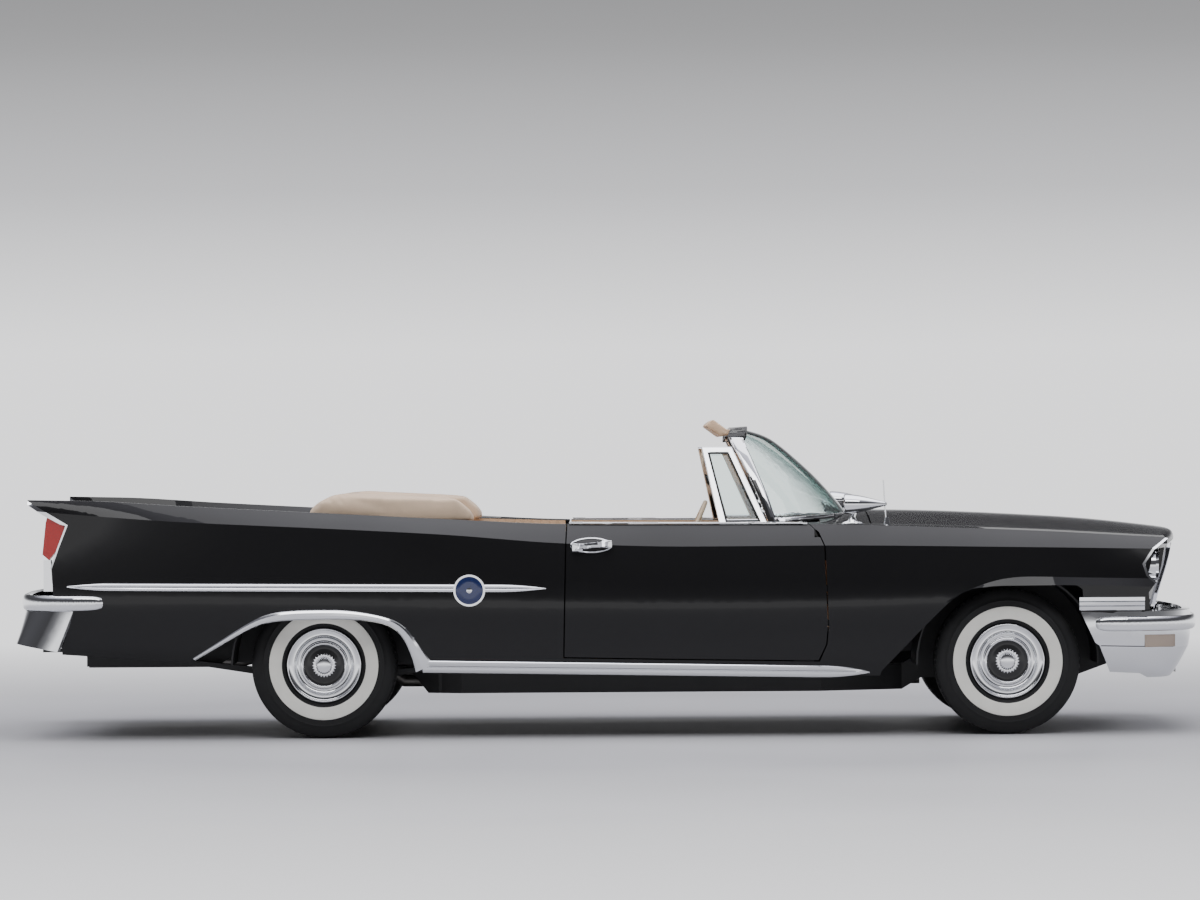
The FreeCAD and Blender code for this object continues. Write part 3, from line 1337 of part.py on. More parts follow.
def make_tail_lamps():
    """Red lens let into each fin's rear edge, with its bright cap and the small lamp stack below."""
    lens_outline = [(-2618, 1053), (-2544, 1009), (-2530, 960), (-2570, 896), (-2613, 846), (-2643, 872), (-2627, 1021)]
    lens = prism_y(lens_outline, size("tail_lens_inner_y"), size("tail_lens_outer_y")).cut(quarter_left)
    lens = lens.cut(tail_wall())
    stack = prism_y([(-2640, 846), (-2606, 846), (-2604, 806), (-2600, 742), (-2594, 700), (-2640, 700)], 866, 924)
    stack = stack.cut(quarter_left).cut(tail_wall()).cut(lens)
    parts.append(piece("tail_lamp_lenses", both_sides(largest(lens))))
    cap = prism_y([(-2712, 1122), (-2523, 1009), (-2568, 896), (-2599, 807), (-2606, 807), (-2575, 898), (-2533, 1006),
                   (-2560, 1013), (-2640, 1056), (-2712, 1104)], 0, far_out)
    cap = largest(skin_left.common(cap).cut(lens).cut(stack).cut(tail_wall()))
    stack = largest(stack)
    parts.append(piece("tail_lamp_bezels", Part.Compound([stack, cap, mirrored(stack), mirrored(cap)])))


# Glass, posts and cabin

WINDSHIELD_ROWS = 6


def windshield_row(k, shrink=0.0):
    """Poles of one level of the wrap-round windshield, from the right post round to the left."""
    centre_x = size("glass_centre_x_%d" % k) - shrink
    centre_z = size("glass_centre_z_%d" % k) - shrink * 0.6
    side_x = size("glass_side_x_%d" % k)
    side_z = size("glass_side_z_%d" % k)
    side_y = size("glass_side_y_%d" % k) - shrink
    poles = []
    count = 14
    for n in range(count + 1):
        turn = math.radians(-90 + 180 * n / count)
        across = math.copysign(abs(math.sin(turn)) ** 0.8, turn)
        ahead = abs(math.cos(turn)) ** 0.8
        poles.append(Vector(side_x + (centre_x - side_x) * ahead, side_y * across,
                            side_z + (centre_z - side_z) * ahead))
    return poles


def make_windshield(cowl):
    thickness = size("glass_thickness")
    rings = []
    for k in range(WINDSHIELD_ROWS):
        rings.append(windshield_row(k) + list(reversed(windshield_row(k, thickness))))
    glass = skin_solid(rings, [0, 14, 15, 29])
    foot = windshield_row(0)
    strip = bar([p + Vector(3, 0, -16) if abs(p.y) < 700 else p + Vector(0, math.copysign(3, p.y), -16) for p in foot],
                [Vector(0, 0, 11)] * len(foot), [Vector(-16, -p.y / 60, 0) for p in foot])
    top = windshield_row(WINDSHIELD_ROWS - 1)
    header = bar([p + Vector(14, 0, 2) for p in top], [Vector(0, 0, 14)] * len(top), [Vector(-84, 0, -6)] * len(top))
    frame = strip
    for sign in (1, -1):
        points, wide, deep = [], [], []
        for k in range(WINDSHIELD_ROWS):
            share = k / (WINDSHIELD_ROWS - 1)
            x = size("glass_side_x_%d" % k)
            y = size("glass_side_y_%d" % k)
            z = size("glass_side_z_%d" % k)
            if k == 0:
                z -= 44
            if k == WINDSHIELD_ROWS - 1:
                z += 8
            half = 18 + 16 * share
            points.append(Vector(x + 6 - half, sign * (y + 8), z))
            wide.append(Vector(half, 0, 0))
            deep.append(Vector(0, -sign * 34, 0))
        frame = frame.fuse(bar(points, wide, deep))
    frame = frame.cut(cowl)
    header = largest(header.cut(frame))
    glass = glass.cut(frame).cut(cowl).cut(header)
    frame = largest(frame)
    parts.append(piece("windshield_frame", frame))
    parts.append(piece("windshield_header", header))
    parts.append(piece("windshield_glass", largest(glass)))
    return frame.fuse(header)


def slanted_plate(corners, start, thickness):
    """A flat plate given in side view, on the vent window's plane that leans inwards as it rises."""
    lean, y_foot, z_foot = size("vent_lean"), size("vent_y"), 990
    normal = Vector(0, 1, lean)
    normal.normalize()
    points = [Vector(x, y_foot - (z - z_foot) * lean, z) + normal * start for x, z in corners]
    return Part.Face(Part.makePolygon(points + points[:1])).extrude(normal * thickness)


def make_door_fittings(doors):
    """Vent window with its frame, belt strip and pull handle on each door."""
    outer = [(442, 1348), (584, 1348), (752, 975), (522, 975)]
    inner = [(478, 1322), (564, 1322), (704, 1008), (558, 1008)]
    frame = slanted_plate(outer, 0, 18).cut(slanted_plate(inner, -1, 20))
    pane = slanted_plate([(478 + 2, 1322 - fit), (564 - 1, 1322 - fit), (704 - 1, 1008 + fit),
                          (558 + 1, 1008 + fit)], 6, 5)
    xs = spread(-184, 930, 90)
    strip = bar([Vector(x, body_line["crest_y"](x) - 2, body_line["crest_z"](x) + 1) for x in xs],
                [Vector(0, 9, 0)] * len(xs), [Vector(0, 0, 9)] * len(xs))
    grip = bar([Vector(x, 992 + size("handle_stand") * math.sin(math.pi * (x + 169) / 186), z)
                for x, z in ((-169, 890), (-150, 893), (-76, 900), (-2, 905), (17, 908))],
               [Vector(0, 0, 13)] * 5, [Vector(0, -12, 0)] * 5)
    pads = block(-169, -120, 940, 996, 872, 908).fuse(block(-30, 17, 940, 996, 888, 922))
    door = doors[0]
    handle = grip.fuse(pads).cut(door.Shape)
    handle = largest(handle)
    bright = Part.Compound([largest(frame.cut(door.Shape)), largest(strip.cut(door.Shape).cut(frame)), handle])
    parts.append(piece("door_brightwork_left", bright))
    parts.append(piece("door_brightwork_right", mirrored(bright)))
    parts.append(piece("vent_glass_left", pane))
    parts.append(piece("vent_glass_right", mirrored(pane)))


def make_dashboard():
    body = padded("dashboard", "XZ_Plane", [
        ("Sizes.firewall_x - Sizes.firewall_plate - Sizes.fit", "Sizes.dash_top_z - 10"),
        ("Sizes.dash_rear_x + 60", "Sizes.dash_top_z"),
        ("Sizes.dash_rear_x", "Sizes.dash_top_z - 34"),
        ("Sizes.dash_rear_x + 8", "Sizes.dash_foot_z + 20"),
        ("Sizes.dash_rear_x + 44", "Sizes.dash_foot_z"),
        ("Sizes.firewall_x - Sizes.firewall_plate - Sizes.fit", "Sizes.dash_foot_z"),
    ], "Sizes.cabin_half_width * 2")
    parts.append(body)


def make_steering():
    tilt = math.radians(size("column_tilt"))
    along = Vector(math.cos(tilt), 0, -math.sin(tilt))
    hub = Vector(size("steering_wheel_x"), size("steering_y"), size("steering_wheel_z"))
    wall_x = size("firewall_x") - size("firewall_plate") - fit
    length = (wall_x - hub.x) / along.x + 60
    column = tube(hub + along * 46, hub + along * length, size("column_radius"))
    column = column.cut(block(wall_x, wall_x + 300, -900, 900, 0, 1200))
    parts.append(piece("steering_column", column))
    rim_r = size("steering_wheel_radius") - size("steering_rim_radius")
    rim = Part.makeTorus(rim_r, size("steering_rim_radius"), hub, -along)
    ring = Part.makeTorus(rim_r * 0.62, 5, hub + along * 12, -along)
    boss = tube(hub - along * 4, hub + along * 45.5, 40)
    wheel = rim.fuse([ring, boss])
    for turn in (0, 180):
        spoke = tube(hub + along * 16, hub + along * 4 + Vector(0, rim_r * math.cos(math.radians(turn)), 0), 9)
        wheel = wheel.fuse(spoke)
    parts.append(piece("steering_wheel", wheel))


def make_seats():
    half = size("cabin_half_width") - 20
    floor_top = size("floor_z") + size("floor_plate") + fit
    cushion = prism_y([(-70, floor_top), (440, floor_top), (470, 345), (480, 400), (470, 480), (440, 500), (-40, 478), (-80, 470)], -half, half)
    back = prism_y([(-20, 420), (-36, 490), (-120, 800), (-140, 850), (-190, 862), (-226, 846), (-250, 800),
                    (-196, 400), (-60, 380)], -half, half)
    parts.append(piece("front_seat", largest(cushion.fuse(back).cut(tunnel_room(fit)).removeSplitter())))
    kick_top = size("kick_floor_z") + 40 + size("floor_plate")
    rear_half = size("rear_wheelhouse_inner_y") - 30
    cushion = prism_y([(-1060, kick_top + fit), (-815, kick_top + fit), (-690, 420), (-560, 420), (-545, 640),
                       (-580, 690), (-1060, kick_top + 40)], -rear_half, rear_half)
    back = prism_y([(-1060, kick_top + fit), (-1000, kick_top + fit), (-1080, 980), (-1110, 1010), (-1150, 1010),
                    (-1170, 980), (-1150, kick_top + fit)], -rear_half, rear_half)
    parts.append(piece("rear_seat", largest(cushion.fuse(back).cut(tunnel_room(fit)).removeSplitter())))


def make_top_boot():
    """The soft cover over the folded roof, a U round the rear seat."""
    profile = [(-1418, 1040), (-1418, 1061), (-1360, 1100), (-1291, 1131), (-1193, 1141), (-710, 1118), (-653, 1072),
               (-621, 1035), (-621, 1000), (-1418, 1000)]
    outer, inner = 782, 610
    plan = [(-1418, -outer + 60), (-1418, outer - 60), (-1340, outer), (-640, outer - 10), (-621, outer - 60),
            (-640, inner + 20), (-700, inner), (-1190, inner), (-1190, -inner), (-700, -inner), (-640, -inner - 20),
            (-621, -outer + 60), (-640, -outer + 10), (-1340, -outer)]
    boot = prism_y(profile, -far_out, far_out).common(prism_z(plan, 900, 1200))
    for under in (skin_left, cabin_side_trim()):
        raised = under.translated(Vector(0, 0, fit))
        boot = boot.cut(raised).cut(mirrored(raised))
    parts.append(piece("top_boot", largest(boot)))


def make_rear_deck():
    """The fixed panel between the boot and the trunk lid, with the well wall below it."""
    x_front, x_rear = size("deck_front_x"), size("lid_front_x") + panel_gap + 1
    rings = []
    shares = [-1.0, -0.8, -0.5, -0.2, 0.2, 0.5, 0.8, 1.0]
    for x in spread(x_rear, x_front, 20):
        edge_y = body_line["gap_y"](x) - fit
        centre_z = 1036 + 0.09 * (x - size("lid_front_x"))
        top = [Vector(x, share * edge_y, centre_z - 30 * share * share) for share in shares]
        under = [point - Vector(0, 0, 14) for point in reversed(top)]
        rings.append(top + under)
    deck = skin_solid(rings, [0, 7, 8, 15])
    kick_top = size("kick_floor_z") + 40 + size("floor_plate")
    half = size("rear_wheelhouse_inner_y") - 20
    wall = block(x_front - 14, x_front - 4, -half, half, kick_top + fit, 1020)
    strap = placed(hinge_strap("panel_strap_angle", (52, 4.5)), lid_hinge)
    deck = deck.fuse([wall, strap, mirrored(strap)])
    parts.append(piece("rear_deck", largest(deck.removeSplitter())))


def make_visors_and_mirror(frame):
    shapes = []
    for sign in (1, -1):
        y_from, y_to = sorted((sign * 90, sign * 520))
        visor = prism_y([(462, 1456), (498, 1485), (561, 1438), (596, 1430), (596, 1414), (552, 1408), (535, 1402)],
                        y_from, y_to)
        shapes.append(visor)
    held = frame.translated(Vector(-fit, 0, 0))
    visors = [largest(shape.cut(held).cut(frame)) for shape in shapes]
    parts.append(piece("sun_visors", Part.Compound(visors)))
    glass_x = size("dash_rear_x") + 70
    stem = tube(Vector(glass_x, 0, size("dash_top_z") + fit), Vector(glass_x, 0, 1090), 6)
    head = block(glass_x - 14, glass_x + 4, -110, 110, 1085, 1140)
    parts.append(piece("interior_mirror", head.fuse(stem)))


def make_outside_fittings():
    """Fender mirrors and the aerial, on the fender tops."""
    shapes = []
    mirror_y = size("mirror_y")
    base = prism_y([(1088, 960), (1198, 960), (1190, 1000), (1160, 1010), (1150, 1045), (1130, 1045), (1110, 1000)],
                   mirror_y - 16, mirror_y + 16)
    head = Part.makeCone(46, 8, 200, Vector(1106, mirror_y, 1082), Vector(1, 0, 0))
    mirror = base.fuse(head).cut(skin_left)
    mirror = largest(mirror)
    mast = tube(Vector(1305, -820, 940), Vector(1290, -820, 1194), 3)
    foot = Part.makeCone(22, 8, 60, Vector(1305, -820, 960), Vector(0, 0, 1))
    aerial = largest(mast.fuse(foot).cut(mirrored(skin_left)))
    parts.append(piece("fender_mirrors", both_sides(mirror)))
    parts.append(piece("aerial", aerial))


def on_skin(shape):
    return largest(shape.cut(skin_left))


def side_moulding(ends, half_heights, bead, lift=0.0):
    """A strip that follows the body side between two places (x, z); bead gives (share of half height, stand)."""
    (x0, z0), (x1, z1) = ends
    rings = []
    sunk = size("trim_sunk")
    heights = smooth_line([x for x, half in half_heights], [half for x, half in half_heights])
    for x in spread(x0, x1, 120) if abs(x1 - x0) > 400 else spread(x0, x1, 40):
        z = z0 + (z1 - z0) * (x - x0) / (x1 - x0)
        half = heights(x)
        grow = min(1, half / max(pair[1] for pair in half_heights) * 1.6)
        outer = [Vector(x, skin_y(x, z + share * half) + lift + stand * grow, z + share * half)
                 for share, stand in bead]
        low, high = outer[-1], outer[0]
        rings.append(outer + [Vector(x, low.y - sunk, low.z), Vector(x, high.y - sunk, high.z)])
    return skin_solid(rings, list(range(len(bead) + 2)))


def make_mouldings():
    """Bright strips on each side: the spear with its round badge, the sill and arch moulding, the ribs by the lamp."""
    stand = size("trim_stand")
    two_ridges = [(1, 0), (0.85, stand * 0.6), (0.55, stand), (0.25, stand * 0.6), (0.05, 1.5), (-0.1, 1.5),
                  (-0.3, stand * 0.5), (-0.6, stand * 0.8), (-0.9, stand * 0.5), (-1, 0)]
    spear = side_moulding([(-2527, 721), (-291, 700)], [(-2527, 3), (-2480, 16), (-2400, 18.5), (-420, 18.5), (-291, 1)],
                          two_ridges)
    spear = on_skin(spear)
    badge_x, badge_z, radius = size("badge_x"), size("badge_z"), size("badge_radius")
    outermost = size("overall_width") / 2
    badge = tube(Vector(badge_x, size("badge_foot_y"), badge_z), Vector(badge_x, outermost, badge_z), radius)
    dish = tube(Vector(badge_x, outermost - 3, badge_z), Vector(badge_x, outermost + 1, badge_z), radius - 9)
    badge = largest(badge.cut(skin_left))
    spear = spear.fuse(badge).removeSplitter().cut(dish)
    sill_ridges = [(1, 0), (0.85, 5), (0.5, stand), (0.15, 6), (0.05, 2), (-0.05, 2), (-0.15, 5), (-0.5, 7),
                   (-0.85, 4), (-1, 0)]
    sill = on_skin(side_moulding([(-870, 338), (1214, 299)], [(-870, 28), (1120, 27), (1190, 20), (1214, 4)],
                                 sill_ridges))
    ribs = [(1, 0), (0.9, 7), (0.4, 7), (0.3, 1), (0.2, 7), (-0.25, 7), (-0.35, 1), (-0.45, 7), (-0.95, 7), (-1, 0)]
    louvre = side_moulding([(2190, 613), (2497, 612)], [(2190, 32), (2497, 32)], ribs, size("brow_stand"))
    louvre = largest(louvre.cut(side_left))
    sill = largest(sill.fuse(moulding_over_arch())).removeSplitter()
    shapes = [spear, sill, louvre]
    parts.append(piece("side_mouldings", Part.Compound(shapes + [mirrored(shape) for shape in shapes])))


def moulding_over_arch():
    """The strip round the rear wheel arch, crowned across its width, down to the sill."""
    edges = [
        ((-1930, 372), (-1944, 384)), ((-1785, 455), (-1812, 468)), ((-1672, 523), (-1700, 541)),
        ((-1585, 552), (-1602, 588)), ((-1482, 560), (-1492, 606)), ((-1350, 562), (-1350, 608)),
        ((-1224, 563), (-1220, 606)), ((-1094, 552), (-1075, 583)), ((-1008, 527), (-978, 552)),
        ((-957, 475), (-920, 494)), ((-923, 397), (-878, 430)), ((-908, 345), (-845, 379)), ((-902, 312), (-820, 350)),
    ]
    crown = [(0.0, 0), (0.12, 5), (0.4, 9), (0.7, 8), (0.92, 4), (1.0, 0)]
    sunk = size("trim_sunk")
    rings = []
    for (low_x, low_z), (high_x, high_z) in edges:
        outer = []
        for share, stand in crown:
            x, z = low_x + (high_x - low_x) * share, low_z + (high_z - low_z) * share
            outer.append(Vector(x, skin_y(x, z) + stand, z))
        rings.append(outer + [outer[-1] - Vector(0, sunk, 0), outer[0] - Vector(0, sunk, 0)])
    return largest(skin_solid(rings, list(range(len(crown) + 2))).cut(skin_left))


def make_underbody(axle):
    """Exhaust pipes with mufflers, and the shaft to the rear axle."""
    shapes = []
    for sign in (1, -1):
        y = sign * size("exhaust_y")
        z = size("exhaust_z")
        muffler = tube(Vector(100, y, z), Vector(-440, y, z), size("muffler_radius"))
        shapes.append(exhaust_pipe(sign).fuse(muffler).removeSplitter())
    parts.append(piece("exhaust_system", Part.Compound(shapes)))
    engine_rear = size("engine_front_x") - size("engine_length")
    shaft = tube(Vector(rear_axle_x + 250, 0, axle_z - 8), Vector(engine_rear - fit, 0, 400), size("propshaft_radius"))
    shaft = shaft.cut(axle).cut(block(engine_rear - fit, engine_rear + 90, -90, 90, 300, 500))
    parts.append(piece("propeller_shaft", largest(shaft)))


def make_plates(front_bumper, rear_bumper):
    """Blank number plates on small brackets."""
    front = block(2722, 2725, -152, 152, 256, 366).fuse(block(2660, 2723, -20, 20, 300, 330)).cut(front_bumper)
    rear = block(-2803, -2800, -160, 160, 452, 596).fuse(block(-2801, -2770, -20, 20, 515, 550)).cut(rear_bumper)
    parts.append(piece("number_plates", Part.Compound([largest(front), largest(rear)])))


make_sides()
hood_shape = make_hood()
make_trunk_lid()
frame_solid = make_frame()
floor_shape = make_floor()
make_wheelhouses(hood_shape)
cowl_shape = make_cowl(floor_shape)
make_wheels()
make_front_suspension(make_knuckles())
axle_solid = make_rear_axle(frame_solid)
make_powertrain()
make_grille()
nose_solid = make_nose()
make_headlamps()
bumper_solids = make_bumpers(nose_solid)
make_bumper_brackets(*bumper_solids)
make_tail()
make_tail_lamps()
make_dashboard()
make_steering()
make_seats()
make_top_boot()
make_rear_deck()
make_outside_fittings()
make_mouldings()
make_underbody(axle_solid)
make_plates(*bumper_solids)
make_door_fittings(make_doors())
make_visors_and_mirror(make_windshield(cowl_shape))

doc.recompute()
for thing in doc.Objects:
    if "Invalid" in thing.State or "Error" in thing.State:
        raise RuntimeError("%s did not build: %s" % (thing.Label, thing.State))
os.makedirs("parts", exist_ok=True)
for part in parts:
    shape = part.Shape
    if shape.isNull() or not shape.isValid():
        raise RuntimeError("%s has no valid shape" % part.Label)
    shape.exportStep("parts/%s.step" % part.Label)
print("%d pieces written" % len(parts))
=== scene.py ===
import bpy, json, math
from mathutils import Vector, Matrix


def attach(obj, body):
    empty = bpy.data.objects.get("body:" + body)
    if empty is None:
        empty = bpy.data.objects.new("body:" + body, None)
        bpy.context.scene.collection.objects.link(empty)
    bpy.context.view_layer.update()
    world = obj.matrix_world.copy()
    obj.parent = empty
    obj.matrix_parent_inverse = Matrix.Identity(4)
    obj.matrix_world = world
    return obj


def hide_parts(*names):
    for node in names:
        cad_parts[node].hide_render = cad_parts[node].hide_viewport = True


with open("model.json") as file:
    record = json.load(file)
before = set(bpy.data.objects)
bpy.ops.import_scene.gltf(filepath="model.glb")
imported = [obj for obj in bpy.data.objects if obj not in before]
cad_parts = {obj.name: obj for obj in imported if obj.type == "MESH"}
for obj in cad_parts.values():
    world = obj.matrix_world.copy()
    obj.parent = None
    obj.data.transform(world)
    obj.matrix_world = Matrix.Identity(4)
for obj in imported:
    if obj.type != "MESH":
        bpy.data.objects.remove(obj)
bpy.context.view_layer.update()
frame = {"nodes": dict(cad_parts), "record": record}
nodes = frame["nodes"]
print("frame loaded", len(nodes), "nodes")

sides = (("left", 1), ("right", -1))
quarterTurn = math.radians(90)
columns = {"coordinates": -1200, "texture": -760, "range": -520, "bump": -240, "mix": 300}  # x of nodes

# shader helpers


def newMaterial(name, **socketValues):
    material = bpy.data.materials.new(name)
    material.use_nodes = True
    shader = material.node_tree.nodes["Principled BSDF"]
    for socket, value in socketValues.items():
        shader.inputs[socket.replace("_", " ")].default_value = value
    return material, material.node_tree, shader


def addNode(tree, kind, column, y, **settings):
    node = tree.nodes.new(kind)
    node.location = (columns[column], y)
    for key, value in settings.items():
        setattr(node, key, value)
    return node


def objectCoordinates(tree):
    return addNode(tree, "ShaderNodeTexCoord", "coordinates", 0).outputs["Object"]


def noiseTexture(tree, vector, scale, detail, roughness, y=0):
    texture = addNode(tree, "ShaderNodeTexNoise", "texture", y)
    texture.inputs["Scale"].default_value = scale
    texture.inputs["Detail"].default_value = detail
    texture.inputs["Roughness"].default_value = roughness
    tree.links.new(vector, texture.inputs["Vector"])
    return texture.outputs["Fac"]


def bandTexture(tree, vector, scale, direction, y=0):
    texture = addNode(tree, "ShaderNodeTexWave", "texture", y, wave_type="BANDS", bands_direction=direction)
    texture.inputs["Scale"].default_value = scale
    tree.links.new(vector, texture.inputs["Vector"])
    return texture.outputs["Fac"]


def cellTexture(tree, vector, scale, y=0):
    texture = addNode(tree, "ShaderNodeTexVoronoi", "texture", y)
    texture.inputs["Scale"].default_value = scale
    tree.links.new(vector, texture.inputs["Vector"])
    return texture.outputs["Distance"]


def mapRange(tree, value, low, high, y=0, fromLow=0.0, fromHigh=1.0):
    node = addNode(tree, "ShaderNodeMapRange", "range", y)
    node.inputs["From Min"].default_value = fromLow
    node.inputs["From Max"].default_value = fromHigh
    node.inputs["To Min"].default_value = low
    node.inputs["To Max"].default_value = high
    tree.links.new(value, node.inputs["Value"])
    return node.outputs["Result"]


def colourRamp(tree, value, stops, y=0):
    node = addNode(tree, "ShaderNodeValToRGB", "range", y)
    ramp = node.color_ramp
    while len(ramp.elements) < len(stops):
        ramp.elements.new(0.5)
    for element, (place, colour) in zip(ramp.elements, stops):
        element.position = place
        element.color = (*colour, 1)
    tree.links.new(value, node.inputs["Fac"])
    return node.outputs["Color"]


def sharpen(tree, value, exponent, y):
    power = addNode(tree, "ShaderNodeMath", "range", y, operation="POWER")
    power.inputs[1].default_value = exponent
    tree.links.new(value, power.inputs[0])
    return power.outputs["Value"]


def addBump(tree, shader, height, strength, distance):
    bump = addNode(tree, "ShaderNodeBump", "bump", -400)
    bump.inputs["Strength"].default_value = strength
    bump.inputs["Distance"].default_value = distance
    tree.links.new(height, bump.inputs["Height"])
    tree.links.new(bump.outputs["Normal"], shader.inputs["Normal"])


# finishes: cloud is a noise's (scale, detail, roughness); shades and gloss are shares of the colour and of
# the roughness; relief is (texture, scale, its settings); bump is (strength, distance)
surfaces = {
    "paint": {"sockets": {"Coat_Roughness": 0.015, "Specular_IOR_Level": 0.12}, "cloud": (3.5, 5, 0.6),
              "gloss": (0.85, 1.25), "relief": ("noise", 140, 2, 0.5), "bump": (0.0025, 0.001)},
    "chrome": {"sockets": {"Metallic": 1.0}, "cloud": (6, 6, 0.65),
               "gloss": (0.5, 1.7), "relief": ("noise", 9, 2, 0.4), "bump": (0.012, 0.01)},
    "lens": {"sockets": {"IOR": 1.5}, "cloud": (20, 3, 0.5),
             "gloss": (0.06, 0.14), "relief": ("bands", 260, "Y"), "bump": (0.35, 0.001)},
    "rubber": {"sockets": {"Specular_IOR_Level": 0.35}, "cloud": (18, 6, 0.6), "shades": (0.75, 1.2),
               "gloss": (0.5, 0.75), "relief": ("noise", 420, 3, 0.6), "bump": (0.15, 0.0006)},
    "sidewall": {"sockets": {"Specular_IOR_Level": 0.35}, "cloud": (18, 6, 0.6), "shades": (0.95, 1.02),
                 "gloss": (0.5, 0.75), "relief": ("noise", 420, 3, 0.6), "bump": (0.15, 0.0006)},
    "moulding": {"sockets": {}, "cloud": (12, 5, 0.6), "shades": (0.85, 1.1), "stops": (0.35, 0.65),
                 "gloss": (0.8, 1.2), "relief": ("noise", 300, 3, 0.6), "bump": (0.06, 0.0005)},
    "metal": {"sockets": {}, "cloud": (9, 8, 0.65), "shades": (0.7, 1.25),
              "gloss": (0.8, 1.2), "relief": ("noise", 160, 4, 0.6), "bump": (0.12, 0.001)},
    "hide": {"sockets": {"Sheen_Weight": 0.1, "Specular_IOR_Level": 0.4}, "cloud": (7, 6, 0.62),
             "shades": (0.86, 1.08), "gloss": (0.85, 1.2), "relief": ("cells", 260), "bump": (0.12, 0.0008)},
    "weave": {"sockets": {"Sheen_Weight": 0.25, "Specular_IOR_Level": 0.3}, "cloud": (5, 6, 0.6),
              "shades": (0.88, 1.06), "gloss": (0.55, 0.72), "relief": ("bands", 620, "DIAGONAL"),
              "bump": (0.08, 0.0004)},
    "pleats": {"sockets": {"Specular_IOR_Level": 0.4}, "cloud": (6, 6, 0.6), "shades": (0.9, 1.0),
               "gloss": (0.42, 0.58), "relief": ("bands", math.tau / (20 * 0.043), "X"), "sharpness": 0.25,
               "bump": (0.8, 0.006)},
}
glassLook = {"ior": 1.4, "cloud": (5, 4, 0.6), "gloss": (0.0, 0.012), "stops": (0.62, 0.93)}
textures = {"noise": noiseTexture, "bands": bandTexture, "cells": cellTexture}


def unevenGloss(tree, shader, value, shares, roughness=1.0):
    low, high = shares
    tree.links.new(mapRange(tree, value, roughness * low, roughness * high, -250), shader.inputs["Roughness"])


def makeFinish(name, kind, colour, roughness=1.0, reliefScale=None, **socketValues):
    look = surfaces[kind]
    material, tree, shader = newMaterial(name, **look["sockets"], **socketValues)
    where = objectCoordinates(tree)
    cloud = noiseTexture(tree, where, *look["cloud"])
    texture, scale, *settings = look["relief"]
    relief = textures[texture](tree, where, reliefScale or scale, *settings, y=-500)
    if "shades" in look:
        shades = [tuple(min(1, c * share) for c in colour) for share in look["shades"]]
        stops = list(zip(look.get("stops", (0.3, 0.7)), shades))
        tree.links.new(colourRamp(tree, cloud, stops), shader.inputs["Base Color"])
    else:
        shader.inputs["Base Color"].default_value = (*colour, 1)
    unevenGloss(tree, shader, relief if texture == "cells" else cloud, look["gloss"], roughness)
    if "sharpness" in look:
        relief = sharpen(tree, relief, look["sharpness"], -500)
    addBump(tree, shader, relief, *look["bump"])
    return material


def makeGlass(name, colour, edgeColour):
    material, tree, shader = newMaterial(name, Transmission_Weight=1.0, IOR=glassLook["ior"])
    film = noiseTexture(tree, objectCoordinates(tree), *glassLook["cloud"])
    unevenGloss(tree, shader, film, glassLook["gloss"])
    slant = addNode(tree, "ShaderNodeLayerWeight", "texture", 300)  # a slanting ray meets more of the tint
    stops = list(zip(glassLook["stops"], (colour, edgeColour)))
    tree.links.new(colourRamp(tree, slant.outputs["Facing"], stops, 300), shader.inputs["Base Color"])
    return material


finishes = {
    "black_paint": makeFinish("BlackEnamel", "paint", (0.0022, 0.0021, 0.0028), 0.5, Coat_Weight=0.55),
    "dash_paint": makeFinish("DashPaint", "paint", (0.02, 0.02, 0.021), 0.35, Coat_Weight=0.6),
    "badge_enamel": makeFinish("BadgeEnamel", "paint", (0.012, 0.022, 0.09), 0.2, Coat_Weight=1.0),
    "chassis_black": makeFinish("ChassisBlack", "metal", (0.012, 0.012, 0.013), 0.55),
    "cast_iron_grey": makeFinish("EngineGrey", "metal", (0.06, 0.062, 0.065), 0.5),
    "pipe_steel": makeFinish("PipeSteel", "metal", (0.22, 0.21, 0.20), 0.42, Metallic=0.8),
    "bright_chrome": makeFinish("ChromePlate", "chrome", (0.78, 0.79, 0.81), 0.05),
    "mirror_glass": makeFinish("MirrorGlass", "chrome", (0.86, 0.87, 0.88), 0.012),
    "tyre_rubber": makeFinish("TyreRubber", "rubber", (0.012, 0.012, 0.0125)),
    "white_sidewall": makeFinish("WhiteSidewall", "sidewall", (0.86, 0.85, 0.78)),
    "window_glass": makeGlass("GreenGlass", (0.87, 0.94, 0.925), (0.10, 0.30, 0.25)),
    "red_lens": makeFinish("RedLens", "lens", (0.42, 0.007, 0.005), reliefScale=300, Transmission_Weight=0.3),
    "clear_lens": makeFinish("LampLens", "lens", (0.92, 0.94, 0.95), reliefScale=180,
                             Transmission_Weight=0.75),
    "parking_lens": makeFinish("ParkingLens", "lens", (0.52, 0.42, 0.34), reliefScale=240,
                               Transmission_Weight=0.25),
    "tan_leather": makeFinish("TanLeather", "hide", (0.66, 0.46, 0.30), 0.45),
    "tan_cover": makeFinish("TanCover", "weave", (0.70, 0.53, 0.38)),
    "tan_carpet": makeFinish("TanCarpet", "weave", (0.36, 0.25, 0.165), reliefScale=260),
    "pleated_vinyl": makeFinish("PleatedVinyl", "pleats", (0.64, 0.46, 0.31)),
    "wheel_plastic": makeFinish("RimPlastic", "moulding", (0.60, 0.47, 0.33), 0.3),
    "plate_white": makeFinish("PlateWhite", "moulding", (0.78, 0.78, 0.74), 0.4),
    "gauge_dial": makeFinish("GaugeDial", "moulding", (0.62, 0.62, 0.55), 0.35),
}
slotOf = {row["node"]: row["material_slot"] for row in frame["record"]["subparts"]}
for name, thing in nodes.items():
    for materialSlot in thing.material_slots:
        materialSlot.material = finishes[slotOf[name]]
print("finishes set")

# modelling helpers


